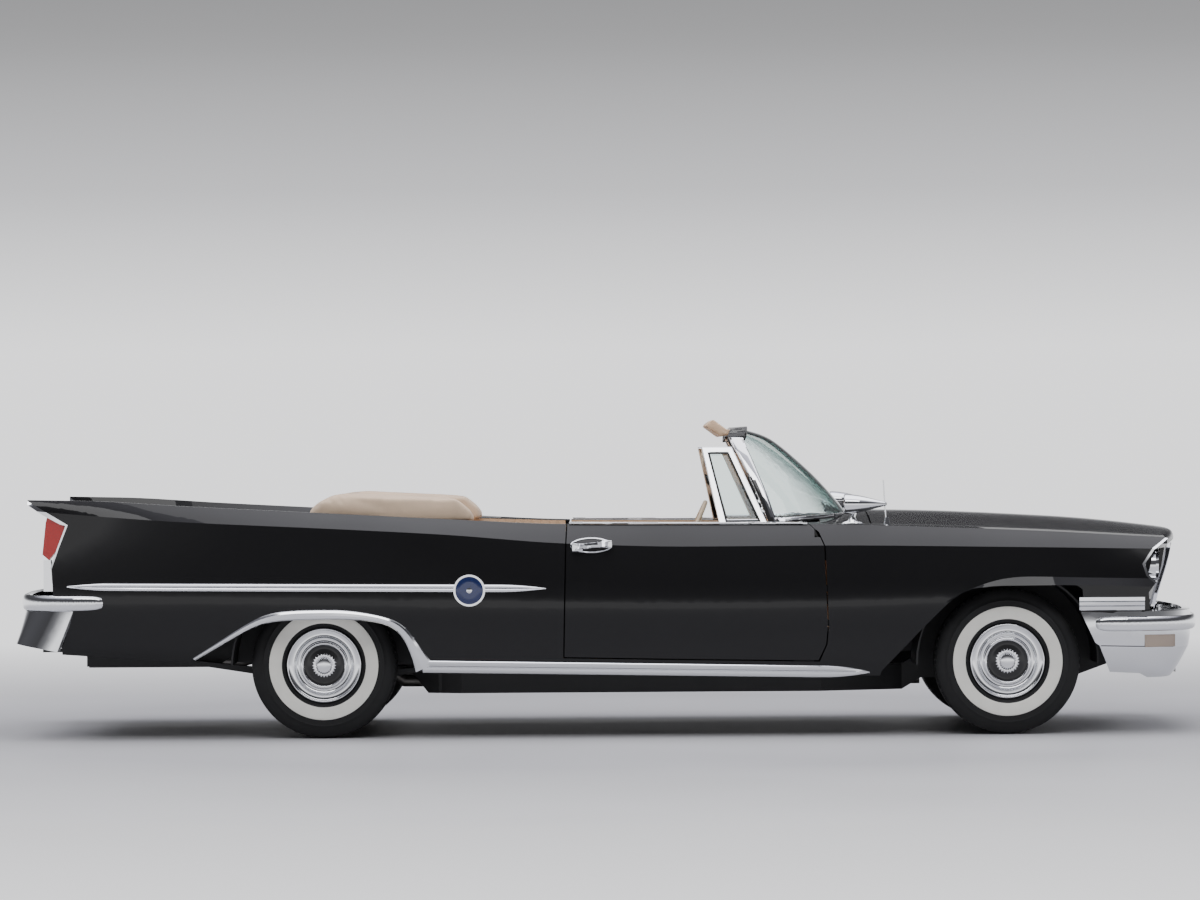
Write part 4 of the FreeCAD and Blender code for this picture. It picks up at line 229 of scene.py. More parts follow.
def deselectAll():
    if bpy.context.object and bpy.context.object.mode != "OBJECT":
        bpy.ops.object.mode_set(mode="OBJECT")
    bpy.ops.object.select_all(action="DESELECT")


def makeActive(thing):
    deselectAll()
    thing.select_set(True)
    bpy.context.view_layer.objects.active = thing


def applyPlace():
    bpy.ops.object.transform_apply(location=True, rotation=True, scale=True)


def nameForm(name):
    thing = bpy.context.object
    thing.name = thing.data.name = name
    return thing


def startEdit(selectBy=None):
    bpy.ops.object.mode_set(mode="EDIT")
    if selectBy:
        bpy.ops.mesh.select_mode(type=selectBy)
    bpy.ops.mesh.select_all(action="SELECT")


def endEdit():
    bpy.ops.mesh.select_all(action="SELECT")
    bpy.ops.mesh.normals_make_consistent(inside=False)
    bpy.ops.object.mode_set(mode="OBJECT")


def pull(x, y, z):
    bpy.ops.mesh.extrude_region_move(TRANSFORM_OT_translate={"value": (x, y, z)})


def squeeze(x, y, z, centre):
    bpy.ops.transform.resize(value=(x, y, z), center_override=centre)


def pickFaces(thing, wanted):
    bpy.ops.object.mode_set(mode="EDIT")
    bpy.ops.mesh.select_mode(type="FACE")
    bpy.ops.mesh.select_all(action="DESELECT")
    bpy.ops.object.mode_set(mode="OBJECT")
    for face in thing.data.polygons:
        face.select = bool(wanted(face))
    bpy.ops.object.mode_set(mode="EDIT")


def useModifier(thing, kind, **settings):
    makeActive(thing)
    modifier = thing.modifiers.new(kind.title(), kind)
    for key, value in settings.items():
        setattr(modifier, key, value)
    bpy.ops.object.modifier_apply(modifier=modifier.name)


def bevelEdges(thing, width, segments):
    useModifier(thing, "BEVEL", width=width, segments=segments, limit_method="ANGLE")


def setFinish(thing, *materials):
    thing.data.materials.clear()
    for material in materials:
        thing.data.materials.append(finishes[material])


def smoothShade(thing, degrees=40):
    makeActive(thing)
    bpy.ops.object.shade_smooth_by_angle(angle=math.radians(degrees))


def paintFaces(thing, slotIndex, wanted):
    makeActive(thing)
    pickFaces(thing, wanted)
    thing.active_material_index = slotIndex
    bpy.ops.object.material_slot_assign()
    bpy.ops.object.mode_set(mode="OBJECT")


def circleForm(name, corners, radius, place=(0, 0, 0), turn=(0, 0, 0), scale=(1, 1, 1), fill="NGON"):
    deselectAll()
    bpy.ops.mesh.primitive_circle_add(vertices=corners, radius=radius, fill_type=fill, location=place,
                                      rotation=turn)
    thing = nameForm(name)
    thing.scale = scale
    applyPlace()
    return thing


def gridForm(name, columnCount, rowCount, place, scale):
    deselectAll()  # an upright grid that faces sideways
    bpy.ops.mesh.primitive_grid_add(x_subdivisions=columnCount, y_subdivisions=rowCount, size=1,
                                    location=place, rotation=(quarterTurn, 0, 0))
    thing = nameForm(name)
    thing.scale = scale
    applyPlace()
    return thing


def ringForm(name, rings, segments, closed=False):
    radius, out = rings[0]  # a circle whose edge is extruded from ring to ring about the Y axis
    thing = circleForm(name, segments, radius, (0, out, 0), (quarterTurn, 0, 0), fill="NOTHING")
    startEdit("VERT")
    steps = rings[1:] + ([rings[0]] if closed else [])
    for nextRadius, nextOut in steps:
        factor = nextRadius / radius
        pull(0, nextOut - out, 0)
        squeeze(factor, 1, factor, (0, nextOut, 0))
        radius, out = nextRadius, nextOut
    bpy.ops.mesh.select_all(action="SELECT")
    bpy.ops.mesh.remove_doubles(threshold=0.00002)
    endEdit()
    return thing


def setPlace(thing, place, degrees):
    makeActive(thing)
    thing.location = place
    thing.rotation_euler = (0, 0, math.radians(degrees))
    applyPlace()


def copyOf(thing, name):
    deselectAll()
    other = thing.copy()
    other.data = thing.data.copy()
    other.name = other.data.name = name
    bpy.context.collection.objects.link(other)
    makeActive(other)
    return other


def copyOfNode(node, name):
    other = copyOf(nodes[node], name)  # a CAD mesh is merged before a lining or a soft form is cut from it
    startEdit()
    bpy.ops.mesh.remove_doubles(threshold=0.0001)
    bpy.ops.object.mode_set(mode="OBJECT")
    return other


def roundForm(thing, look):
    thing.data.remesh_voxel_size = look["voxel"]
    bpy.ops.object.voxel_remesh()
    useModifier(thing, "SMOOTH", factor=0.5, iterations=look["rounding"])


def roundedCopy(node, name, look, body, material):
    thing = copyOfNode(node, name)  # the same form with the soft edges of pressed and plated metal
    roundForm(thing, look)
    setFinish(thing, material)
    makeActive(thing)
    bpy.ops.object.shade_smooth()
    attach(thing, body)
    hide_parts(node)


def trimTo(thing, cuts):
    makeActive(thing)
    bpy.ops.object.mode_set(mode="EDIT")
    for place, outward in cuts:  # what lies beyond each plane is cut away
        bpy.ops.mesh.select_all(action="SELECT")
        bpy.ops.mesh.bisect(plane_co=place, plane_no=outward, clear_outer=True)
    bpy.ops.object.mode_set(mode="OBJECT")


def lining(node, name, wanted, thickness, material, body, cuts=()):
    thing = copyOfNode(node, name)  # a thin covering on the chosen faces of a CAD node
    pickFaces(thing, lambda face: not wanted(face))
    bpy.ops.mesh.delete(type="FACE")
    bpy.ops.object.mode_set(mode="OBJECT")
    trimTo(thing, cuts)
    useModifier(thing, "SOLIDIFY", thickness=thickness, offset=1.0, use_even_offset=False)
    setFinish(thing, material)
    smoothShade(thing)
    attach(thing, body)


# wheels: rings are (radius, distance outwards)
wheelLook = {
    "segments": 128,
    "axleHeight": 0.343,
    "whiteRing": (0.1965, 0.2545),
    "whiteBeyond": 0.09,
    "treadRadius": 0.333,
    "treadBand": (0.056, 0.080),
    "treadFacing": 0.8,
    "treadCut": (0.0008, 0.004),
    "tyreHalf": [
        (0.1808, 0.074), (0.183, 0.084), (0.188, 0.0915), (0.195, 0.0965), (0.197, 0.0985),
        (0.210, 0.1025), (0.228, 0.1062), (0.244, 0.1082), (0.2535, 0.1088), (0.2555, 0.1076),
        (0.268, 0.1078), (0.280, 0.1065), (0.2815, 0.1075), (0.2845, 0.1072), (0.286, 0.1055),
        (0.300, 0.1018), (0.314, 0.096), (0.325, 0.0895), (0.3315, 0.084), (0.3355, 0.0795),
        (0.3385, 0.070), (0.3400, 0.0565), (0.3330, 0.0550), (0.3330, 0.0500), (0.3405, 0.0485),
        (0.3418, 0.0245), (0.3345, 0.0230), (0.3345, 0.0180), (0.3420, 0.0165), (0.3428, 0.0)],
    "rim": [
        (0.176, -0.073), (0.180, -0.076), (0.1885, -0.078), (0.1895, -0.074), (0.1815, -0.066),
        (0.174, -0.030), (0.174, 0.030), (0.1795, 0.066), (0.1885, 0.0775), (0.1900, 0.0825),
        (0.1865, 0.0835), (0.1780, 0.0760), (0.168, 0.054), (0.150, 0.049), (0.040, 0.044),
        (0.034, 0.040), (0.034, 0.030), (0.155, 0.036), (0.168, 0.026), (0.170, -0.030)],
    "cover": [
        (0.1700, 0.0700), (0.1765, 0.0760), (0.1760, 0.0815), (0.1725, 0.0855), (0.1690, 0.0862),
        (0.1655, 0.0845), (0.1640, 0.0815), (0.1600, 0.0800), (0.1500, 0.0785), (0.1415, 0.0790),
        (0.1395, 0.0830), (0.1370, 0.0850), (0.1345, 0.0830), (0.1325, 0.0775), (0.1260, 0.0725),
        (0.1180, 0.0710), (0.1145, 0.0720), (0.1135, 0.0770), (0.1105, 0.0825), (0.1060, 0.0855),
        (0.1015, 0.0860), (0.0970, 0.0835), (0.0945, 0.0785), (0.0935, 0.0745), (0.0900, 0.0735),
        (0.0720, 0.0745), (0.0600, 0.0765), (0.0300, 0.0780), (0.0050, 0.0785)],
    "darkRadius": 0.0925,
    "darkBeyond": 0.07,
    "teeth": 24,
    "toothRadius": 0.058,
    "toothFoot": 0.86,
    "discOut": 0.0765,
    "discSteps": [(1.0, 0.0045), (0.93, 0.0018), (0.74, 0.0), (0.985, -0.002), (0.96, 0.0045), (0.93, 0.002),
                  (0.72, 0.0016), (0.4, 0.0006)],
    "discBevel": 0.0006,
}
axlePlaces = {
    "front_left": (1.8635, 0.777, 0), "front_right": (1.8635, -0.777, 180),
    "rear_left": (-1.3365, 0.762, 0), "rear_right": (-1.3365, -0.762, 180),
}


def fromAxle(face):
    return math.hypot(face.center.x, face.center.z)


def isTreadCut(face):
    inner, outer = wheelLook["treadBand"]
    step = math.floor(math.atan2(face.center.z, face.center.x) / math.tau * wheelLook["segments"])
    return (abs(face.normal.y) < wheelLook["treadFacing"] and fromAxle(face) > wheelLook["treadRadius"]
            and inner < abs(face.center.y) < outer and step % 2 == 0)


def makeTyre():
    half = wheelLook["tyreHalf"]
    whiteFrom, whiteTo = wheelLook["whiteRing"]
    inset, depth = wheelLook["treadCut"]
    rings = half + [(radius, -out) for radius, out in reversed(half[:-1])]
    tyre = ringForm("TyreForm", rings, wheelLook["segments"], closed=True)
    setFinish(tyre, "tyre_rubber", "white_sidewall")
    paintFaces(tyre, 1, lambda face: face.center.y > wheelLook["whiteBeyond"]
               and whiteFrom < fromAxle(face) < whiteTo)
    makeActive(tyre)
    pickFaces(tyre, isTreadCut)
    bpy.ops.mesh.inset(thickness=inset, use_individual=True)
    bpy.ops.transform.shrink_fatten(value=-depth)
    bpy.ops.object.mode_set(mode="OBJECT")
    smoothShade(tyre, degrees=35)
    return tyre


def makeRim():
    rim = ringForm("RimForm", wheelLook["rim"], wheelLook["segments"], closed=True)
    setFinish(rim, "dash_paint")
    smoothShade(rim, degrees=35)
    return rim


def makeCover():
    cover = ringForm("CoverForm", wheelLook["cover"], wheelLook["segments"])
    makeActive(cover)
    startEdit()
    bpy.ops.mesh.fill_holes(sides=0)
    endEdit()
    setFinish(cover, "bright_chrome", "dash_paint")
    paintFaces(cover, 1, lambda face: fromAxle(face) < wheelLook["darkRadius"]
               and face.center.y > wheelLook["darkBeyond"])
    smoothShade(cover, degrees=45)
    return cover


def makeToothedDisc():
    disc = circleForm("CoverCentre", wheelLook["teeth"] * 2, wheelLook["toothRadius"],
                      (0, wheelLook["discOut"], 0), (-quarterTurn, 0, 0))
    for index, corner in enumerate(disc.data.vertices):
        if index % 2:
            corner.co.x *= wheelLook["toothFoot"]
            corner.co.z *= wheelLook["toothFoot"]
    startEdit()
    for factor, rise in wheelLook["discSteps"]:
        pull(0, rise, 0)
        squeeze(factor, 1, factor, (0, 0, 0))
    endEdit()
    bevelEdges(disc, wheelLook["discBevel"], 2)
    setFinish(disc, "bright_chrome")
    smoothShade(disc, degrees=30)
    return disc


def makeWheelSet():
    forms = {"tyreShape": makeTyre(), "wheelRim": makeRim(), "wheelCover": makeCover(),
             "coverCentre": makeToothedDisc()}
    for place, (x, y, degrees) in axlePlaces.items():
        for formName, form in forms.items():
            one = copyOf(form, formName + "_" + place)
            setPlace(one, (x, y, wheelLook["axleHeight"]), degrees)
            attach(one, "wheel_" + place)
            if formName == "tyreShape":
                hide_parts("tyre_" + place)
            if formName == "wheelRim":
                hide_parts("wheel_" + place)
    for form in forms.values():
        bpy.data.objects.remove(form, do_unlink=True)


makeWheelSet()
print("wheels done")

# soft parts: channels give (x from, to), (z from, to) and the side that the sewn face looks to
softLook = {
    "top_boot": {"piece": "topBootCover", "voxel": 0.011, "shrink": 0.006, "rounding": 14, "pressure": 5.0,
                 "cap": 0.014, "fill": 0.6, "material": "tan_cover"},
    "sun_visors": {"piece": "sunVisorPads", "voxel": 0.0035, "shrink": 0.0015, "rounding": 6, "pressure": 3.0,
                   "cap": 0.002, "fill": 0.9, "material": "tan_leather"},
    "front_seat": {"piece": "frontBench", "voxel": 0.012, "shrink": 0.008, "rounding": 8, "pressure": 4.0,
                   "cap": 0.012, "fill": 0.8, "material": "tan_leather", "halfSpan": (0.05, 0.60),
                   "channels": [((0.0, 0.40), (0.40, 0.60), (0, 0, 1)),
                                ((-0.20, 0.05), (0.52, 0.80), (1, 0, 0.2))]},
    "rear_seat": {"piece": "rearBench", "voxel": 0.011, "shrink": 0.008, "rounding": 8, "pressure": 4.0,
                  "cap": 0.012, "fill": 0.8, "material": "tan_leather", "halfSpan": (0.05, 0.50),
                  "channels": [((-1.0, -0.62), (0.50, 0.80), (0, 0, 1)),
                               ((-1.14, -0.90), (0.74, 0.96), (1, 0, 0.2))]},
}
sewing = {"pitch": 0.056, "depth": 0.0075, "sharpness": 0.35, "facing": 0.6}
inflation = {"quality": 4, "frames": 20}


def inflate(thing, look):
    start = [corner.co.copy() for corner in thing.data.vertices]
    makeActive(thing)
    cloth = thing.modifiers.new("Cloth", "CLOTH")
    cloth.settings.quality = inflation["quality"]
    cloth.settings.use_pressure = True
    cloth.settings.uniform_pressure_force = look["pressure"]
    cloth.settings.effector_weights.gravity = 0
    for step in range(1, inflation["frames"] + 1):
        bpy.context.scene.frame_set(step)
    bpy.ops.object.modifier_apply(modifier=cloth.name)
    bpy.context.scene.frame_set(1)
    for corner, before in zip(thing.data.vertices, start):
        move = corner.co - before
        if move.length > look["cap"]:
            corner.co = before + move * (look["cap"] / move.length)


def isSewn(place, normal, look):
    spanFrom, spanTo = look["halfSpan"]
    return spanFrom <= abs(place.y) <= spanTo and any(
        x0 <= place.x <= x1 and z0 <= place.z <= z1 and normal.dot(Vector(facing)) >= sewing["facing"]
        for (x0, x1), (z0, z1), facing in look["channels"])


def sewChannels(thing, look):
    normals = [corner.normal.copy() for corner in thing.data.vertices]
    for corner, normal in zip(thing.data.vertices, normals):  # the cover is drawn in where it is sewn down
        if isSewn(corner.co, normal, look):
            across = abs(math.sin(math.pi * corner.co.y / sewing["pitch"])) ** sewing["sharpness"]
            corner.co -= normal * sewing["depth"] * (1 - across)


def softForm(node):
    look = softLook[node]
    thing = copyOfNode(node, look["piece"])
    startEdit()
    bpy.ops.transform.shrink_fatten(value=-look["shrink"])
    bpy.ops.object.mode_set(mode="OBJECT")
    roundForm(thing, look)
    inflate(thing, look)
    if "channels" in look:
        sewChannels(thing, look)
    useModifier(thing, "SUBSURF", levels=1, render_levels=1)
    setFinish(thing, look["material"])
    makeActive(thing)
    bpy.ops.object.shade_smooth()
    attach(thing, "root")
    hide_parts(node)
    print(look["piece"], len(thing.data.polygons), "faces")


for node in softLook:
    softForm(node)
print("soft parts done")

# cabin: spans choose the faces of the CAD skin that a lining covers
cabin = {
    "trim": 0.003, "carpet": 0.006, "toeBoard": 0.005,
    "doorSkin": (0.77, 0.83), "doorFacing": 0.75, "doorFoot": 0.425,
    "quarterSkin": (0.73, 0.77), "quarterFacing": 0.8, "quarterRun": (-1.22, -0.18),
    "kickSkin": (0.79, 0.81), "kickFacing": 0.7, "cowlRun": (0.9, 1.15),
    "carpetRun": (-1.0, 1.10), "carpetTop": 0.60, "upward": 0.35, "carpetSide": 0.79,
    "toeFacing": 0.4, "toeSide": 0.797, "toeTop": 0.90,
    "wheelhouseInward": 0.2, "wheelhouseRear": -1.40,
}
doorSeal = {"out": 0.789, "radius": 0.0068, "corners": 20, "bevel": 0.002,
            "runs": [((-0.2105, 0.372), (-0.1970, 0.962), "Z"), ((-0.2105, 0.3695), (0.960, 0.3505), "X")]}


def within(value, span):
    return span[0] < value < span[1]


def facesInward(face, sign, share, skin):
    return face.normal.y * sign < -share and within(face.center.y * sign, skin)


def sideCuts(out):
    return [((0, out, 0), (0, 1, 0)), ((0, -out, 0), (0, -1, 0))]


def lineCabin():
    for side, sign in sides:
        lining("door_" + side, "doorLining_" + side,
               lambda face, sign=sign: facesInward(face, sign, cabin["doorFacing"], cabin["doorSkin"]),
               cabin["trim"], "pleated_vinyl", "door_" + side, [((0, 0, cabin["doorFoot"]), (0, 0, -1))])
        lining("quarter_panel_" + side, "quarterLining_" + side,
               lambda face, sign=sign: facesInward(face, sign, cabin["quarterFacing"], cabin["quarterSkin"])
               and within(face.center.x, cabin["quarterRun"]), cabin["trim"], "pleated_vinyl", "root")
        lining("cowl_and_firewall", "kickPanel_" + side,
               lambda face, sign=sign: facesInward(face, sign, cabin["kickFacing"], cabin["kickSkin"])
               and within(face.center.x, cabin["cowlRun"]), cabin["trim"], "tan_carpet", "root")
    lining("floor_pan", "carpet", lambda face: face.normal.z > cabin["upward"]
           and face.center.z < cabin["carpetTop"] and within(face.center.x, cabin["carpetRun"]),
           cabin["carpet"], "tan_carpet", "root", sideCuts(cabin["carpetSide"]))
    lining("cowl_and_firewall", "toeBoardCarpet", lambda face: face.normal.x < -cabin["toeFacing"]
           and within(face.center.x, cabin["cowlRun"]), cabin["toeBoard"], "tan_carpet", "root",
           sideCuts(cabin["toeSide"]) + [((0, 0, cabin["toeTop"]), (0, 0, 1))])
    lining("rear_wheelhouses", "wheelhouseTrim", lambda face: face.normal.z > cabin["upward"]
           or face.normal.x > cabin["upward"] or face.normal.y * face.center.y < -cabin["wheelhouseInward"],
           cabin["trim"], "tan_leather", "root", [((cabin["wheelhouseRear"], 0, 0), (-1, 0, 0))])


def makeDoorSeals():
    for side, sign in sides:  # a round rubber cord on the body behind each door's rear edge and foot
        for index, ((x0, z0), (x1, z1), along) in enumerate(doorSeal["runs"]):
            seal = circleForm("doorSeal_%s_%d" % (side, index), doorSeal["corners"], doorSeal["radius"],
                              (x0, sign * doorSeal["out"], z0), (0, quarterTurn if along == "X" else 0, 0))
            startEdit()
            pull(x1 - x0, 0, z1 - z0)
            endEdit()
            bevelEdges(seal, doorSeal["bevel"], 3)
            setFinish(seal, "tyre_rubber")
            smoothShade(seal)
            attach(seal, "root")


lineCabin()
makeDoorSeals()
print("cabin lined")

brightwork = {
    "doorFrames": {"voxel": 0.003, "rounding": 5},
    "windshield": {"voxel": 0.004, "rounding": 6},
}
post = {
    "rows": [(0.786, 0.772, 0.990), (0.746, 0.744, 1.112), (0.706, 0.706, 1.214), (0.668, 0.664, 1.306),
             (0.646, 0.636, 1.356), (0.632, 0.610, 1.398)],
    "halfWidth": (0.020, 0.036), "halfDepth": 0.0188, "steps": 30, "corners": 24, "squareness": 0.55,
    "forward": 0.008, "inward": 0.009,
    "chromeWidth": [(1.000, 0.014), (1.176, 0.026), (1.262, 0.060), (1.30, 0.2)],  # (height, width)
}
ventGasket = {"outline": [(0.4690, 1.3285), (0.5685, 1.3285), (0.7155, 1.0015), (0.5495, 1.0015)],
              "width": 0.0095, "foot": (0.8255, 0.990), "lean": 0.41, "stand": 0.0022, "bevel": 0.001}


def between(points, value):
    for (a, low), (b, high) in zip(points, points[1:]):
        if value <= b:
            return low + (high - low) * max(0.0, (value - a) / (b - a))
    return points[-1][1]


def smoothRow(rows, share):
    place = share * (len(rows) - 1)  # a curve through the rows, without corners where they meet
    index = min(int(place), len(rows) - 2)
    t = place - index
    before, start = Vector(rows[max(index - 1, 0)]), Vector(rows[index])
    stop, after = Vector(rows[index + 1]), Vector(rows[min(index + 2, len(rows) - 1)])
    return 0.5 * (2 * start + (stop - before) * t + (2 * before - 5 * start + 4 * stop - after) * t ** 2
                  + (3 * start - before - 3 * stop + after) * t ** 3)


def squared(value):
    return math.copysign(abs(value) ** post["squareness"], value)


def makePost(side, sign):
    centres, halves = [], []
    for step in range(post["steps"] + 1):
        share = step / post["steps"]
        x, y, z = smoothRow(post["rows"], share)
        half = post["halfWidth"][0] + (post["halfWidth"][1] - post["halfWidth"][0]) * share
        centres.append(Vector((x + post["forward"] - half, sign * (y - post["inward"]), z)))
        halves.append(half)
    thing = circleForm("windshieldPost_" + side, post["corners"], 1)
    for corner in thing.data.vertices:  # the circle is squared to a bar with round corners
        corner.co.x = squared(corner.co.x) * halves[0] + centres[0].x
        corner.co.y = squared(corner.co.y) * post["halfDepth"] + centres[0].y
        corner.co.z = centres[0].z
    startEdit()
    for index in range(1, len(centres)):
        pull(*(centres[index] - centres[index - 1]))
        squeeze(halves[index] / halves[index - 1], 1, 1, centres[index])
    endEdit()
    setFinish(thing, "bright_chrome", "dash_paint")
    fronts = [(centre.z, centre.x + half) for centre, half in zip(centres, halves)]
    paintFaces(thing, 1, lambda face: face.center.x < between(fronts, face.center.z)
               - between(post["chromeWidth"], face.center.z))
    smoothShade(thing, degrees=60)
    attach(thing, "root")


def makeVentGasket(side, sign):
    y0, z0 = ventGasket["foot"]
    deselectAll()
    bpy.ops.mesh.primitive_plane_add(size=1, location=(0, 0, 0))
    gasket = nameForm("ventGasket_" + side)
    ring = gasket.data.polygons[0].vertices
    for index, (x, z) in zip(ring, ventGasket["outline"]):
        gasket.data.vertices[index].co = (x, sign * (y0 - (z - z0) * ventGasket["lean"]), z)
    startEdit("FACE")
    bpy.ops.mesh.inset(thickness=ventGasket["width"])
    bpy.ops.mesh.delete(type="FACE")
    bpy.ops.mesh.select_all(action="SELECT")
    pull(*(Vector((0, sign, ventGasket["lean"])).normalized() * ventGasket["stand"]))
    endEdit()
    bevelEdges(gasket, ventGasket["bevel"], 2)
    setFinish(gasket, "tyre_rubber")
    smoothShade(gasket)
    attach(gasket, "door_" + side)


def makeBrightwork():
    for side, sign in sides:
        roundedCopy("door_brightwork_" + side, "doorBrightwork_" + side, brightwork["doorFrames"],
                    "door_" + side, "bright_chrome")
        makePost(side, sign)
        makeVentGasket(side, sign)
    roundedCopy("windshield_frame", "windshieldFoot", brightwork["windshield"], "root", "bright_chrome")
    roundedCopy("windshield_header", "windshieldHeader", brightwork["windshield"], "root", "dash_paint")


makeBrightwork()
print("brightwork done")

# fittings: a patch starts beyond the body's side and is wrapped onto it
patchOut = 1.03
fittings = {
    "badge": {
        "x": -0.649, "z": 0.693, "out": 1.0068, "corners": (96, 64),
        "enamel": [(0.0645, -0.002), (0.0645, 0.0006), (0.0635, 0.0012), (0.0387, 0.0018), (0.0005, 0.0020)],
        "boss": [(0.0272, 0.0), (0.0264, 0.0014), (0.0208, 0.0016), (0.0192, 0.0008), (0.0160, 0.0010),
                 (0.0112, 0.0024), (0.0005, 0.0026)]},
    "handle": {"x": -0.080, "z": 0.899, "half": (0.098, 0.036), "rim": 0.006, "stand": 0.004, "skin": 0.0008,
               "bevel": 0.0012, "border": 0.002, "corners": 64, "facing": 0.9},
    "parkingLamp": {"x": (2.500, 2.648), "z": (0.406, 0.464), "thickness": 0.006, "rim": 0.004, "dip": 0.0025,
                    "bevel": 0.0010, "grid": (16, 6)},
    "gauges": {
        "x": 0.6985, "z": 0.895, "y": (0.300, 0.480), "corners": 96,
        "ring": [(0.066, 0.0), (0.069, 0.008), (0.065, 0.014), (0.060, 0.012), (0.058, 0.004)],
        "dial": [(0.059, 0.003), (0.046, 0.0035), (0.008, 0.004), (0.007, 0.009), (0.0005, 0.0095)]},
    "fenderMirror": {
        "x": 1.106, "y": 0.85, "z": 1.082, "foot": (1.143, 0.985), "footHalf": (0.052, 0.017),
        "corners": (64, 32),
        "head": [(0.0400, 0.0035), (0.0412, 0.0000), (0.0440, -0.0015), (0.0462, 0.0005), (0.0470, 0.0060),
                 (0.0466, 0.0200), (0.0445, 0.0400), (0.0400, 0.0700), (0.0335, 0.1000), (0.0255, 0.1300),
                 (0.0175, 0.1600), (0.0110, 0.1850), (0.0075, 0.1960), (0.0004, 0.2000)],
        "glass": [(0.0408, 0.0030), (0.0402, 0.0026), (0.0390, 0.0024), (0.0004, 0.0020)],
        "stalk": [(0.0, 0.006, 0.97, 0.97), (0.0, 0.006, 0.86, 0.9), (-0.002, 0.006, 0.5, 0.72),
                  (0.006, 0.020, 0.55, 0.70), (0.010, 0.022, 0.92, 0.95), (0.008, 0.025, 1.0, 1.0)]},
    # a thin black strip that paints the shade in the front bumper's crease
    "paintedGrooveShade": {"x": (2.292, 2.640), "z": (0.4145, 0.4065), "half": 0.0022, "stand": 0.0008,
                     "grid": (60, 1)},
}


def placeRound(name, rings, segments, material, place, degrees):
    thing = ringForm(name, rings, segments)
    setFinish(thing, material)
    smoothShade(thing)
    setPlace(thing, place, degrees)
    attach(thing, "root")


def makeBadges():
    look = fittings["badge"]
    enamelCorners, bossCorners = look["corners"]
    for side, sign in sides:
        place = (look["x"], sign * look["out"], look["z"])
        degrees = 0 if sign > 0 else 180
        placeRound("badgeEnamel_" + side, look["enamel"], enamelCorners, "badge_enamel", place, degrees)
        placeRound("badgeBoss_" + side, look["boss"], bossCorners, "bright_chrome", place, degrees)


def makeGauges():
    look = fittings["gauges"]
    for index, y in enumerate(look["y"]):
        place = (look["x"], y, look["z"])
        placeRound("gaugeRing_%d" % index, look["ring"], look["corners"], "bright_chrome", place, 90)
        placeRound("gaugeDial_%d" % index, look["dial"], look["corners"], "gauge_dial", place, 90)


def raisePatch(thing, node, stand, rim=0.0, dip=0.0):
    useModifier(thing, "SHRINKWRAP", target=nodes[node], wrap_method="PROJECT", use_project_y=True,
                use_positive_direction=True, use_negative_direction=True)
    startEdit("FACE")
    pull(0, stand, 0)
    if rim:
        bpy.ops.mesh.inset(thickness=rim)
        pull(0, -dip, 0)
    endEdit()


def makeHandleCups():
    look = fittings["handle"]
    halfX, halfZ = look["half"]
    border = look["rim"] + look["border"]
    for side, sign in sides:
        cup = circleForm("handleCup_" + side, look["corners"], 1, (look["x"], sign * patchOut, look["z"]),
                         (quarterTurn, 0, 0), (halfX, halfZ, 1))
        raisePatch(cup, "door_" + side, sign * look["stand"], look["rim"],
                   sign * (look["stand"] - look["skin"]))
        bevelEdges(cup, look["bevel"], 3)
        setFinish(cup, "bright_chrome", "dash_paint")
        paintFaces(cup, 1, lambda face: abs(face.normal.y) > look["facing"]
                   and face.area > (halfX - border) * (halfZ - border))
        smoothShade(cup, degrees=35)
        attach(cup, "door_" + side)


def makeParkingLamps():
    look = fittings["parkingLamp"]
    (x0, x1), (z0, z1) = look["x"], look["z"]
    for side, sign in sides:
        place = ((x0 + x1) / 2, sign * patchOut, (z0 + z1) / 2)
        lamp = gridForm("parkingLamp_" + side, *look["grid"], place, (x1 - x0, z1 - z0, 1))
        raisePatch(lamp, "front_bumper", sign * look["thickness"], look["rim"], sign * look["dip"])
        bevelEdges(lamp, look["bevel"], 2)
        setFinish(lamp, "parking_lens")
        smoothShade(lamp, degrees=35)
        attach(lamp, "root")


# painted shade: a thin black strip wrapped along the crease of the front bumper, standing in for its shadow
def makePaintedGrooveShade():
    look = fittings["paintedGrooveShade"]
    (x0, x1), (z0, z1) = look["x"], look["z"]
    for side, sign in sides:
        place = ((x0 + x1) / 2, sign * patchOut, (z0 + z1) / 2)
        shadeStrip = gridForm("paintedGrooveShade_" + side, *look["grid"], place, (x1 - x0, look["half"] * 2, 1))
        for corner in shadeStrip.data.vertices:
            corner.co.z += (z1 - z0) * ((corner.co.x - x0) / (x1 - x0) - 0.5)
        raisePatch(shadeStrip, "front_bumper", sign * look["stand"])
        setFinish(shadeStrip, "chassis_black")
        smoothShade(shadeStrip, degrees=35)
        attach(shadeStrip, "root")


def makeMirrorStalk(side, sign):
    look = fittings["fenderMirror"]
    footX, footZ = look["foot"]
    centre = Vector((footX, sign * look["y"], footZ))
    stalk = circleForm("mirrorStalk_" + side, look["corners"][1], 1, centre, scale=(*look["footHalf"], 1))
    startEdit()
    for forward, rise, length, width in look["stalk"]:
        centre += Vector((forward, 0, rise))
        pull(forward, 0, rise)
        squeeze(length, width, 1, centre)
    endEdit()
    return stalk


def makeFenderMirrors():
    look = fittings["fenderMirror"]
    forms = []
    for side, sign in sides:
        place = (look["x"], sign * look["y"], look["z"])
        head = ringForm("mirrorHead_" + side, look["head"], look["corners"][0])
        setPlace(head, place, -90)
        glass = ringForm("mirrorGlass_" + side, look["glass"], look["corners"][0])
        setPlace(glass, place, -90)
        stalk = makeMirrorStalk(side, sign)
        for thing, material in ((head, "bright_chrome"), (glass, "mirror_glass"), (stalk, "bright_chrome")):
            setFinish(thing, material)
            smoothShade(thing, degrees=50)
            forms.append(thing)
    deselectAll()
    for thing in forms:
        thing.select_set(True)
    bpy.context.view_layer.objects.active = forms[0]
    bpy.ops.object.join()
    pair = nameForm("fenderMirrorPair")
    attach(pair, "root")
    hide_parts("fender_mirrors")


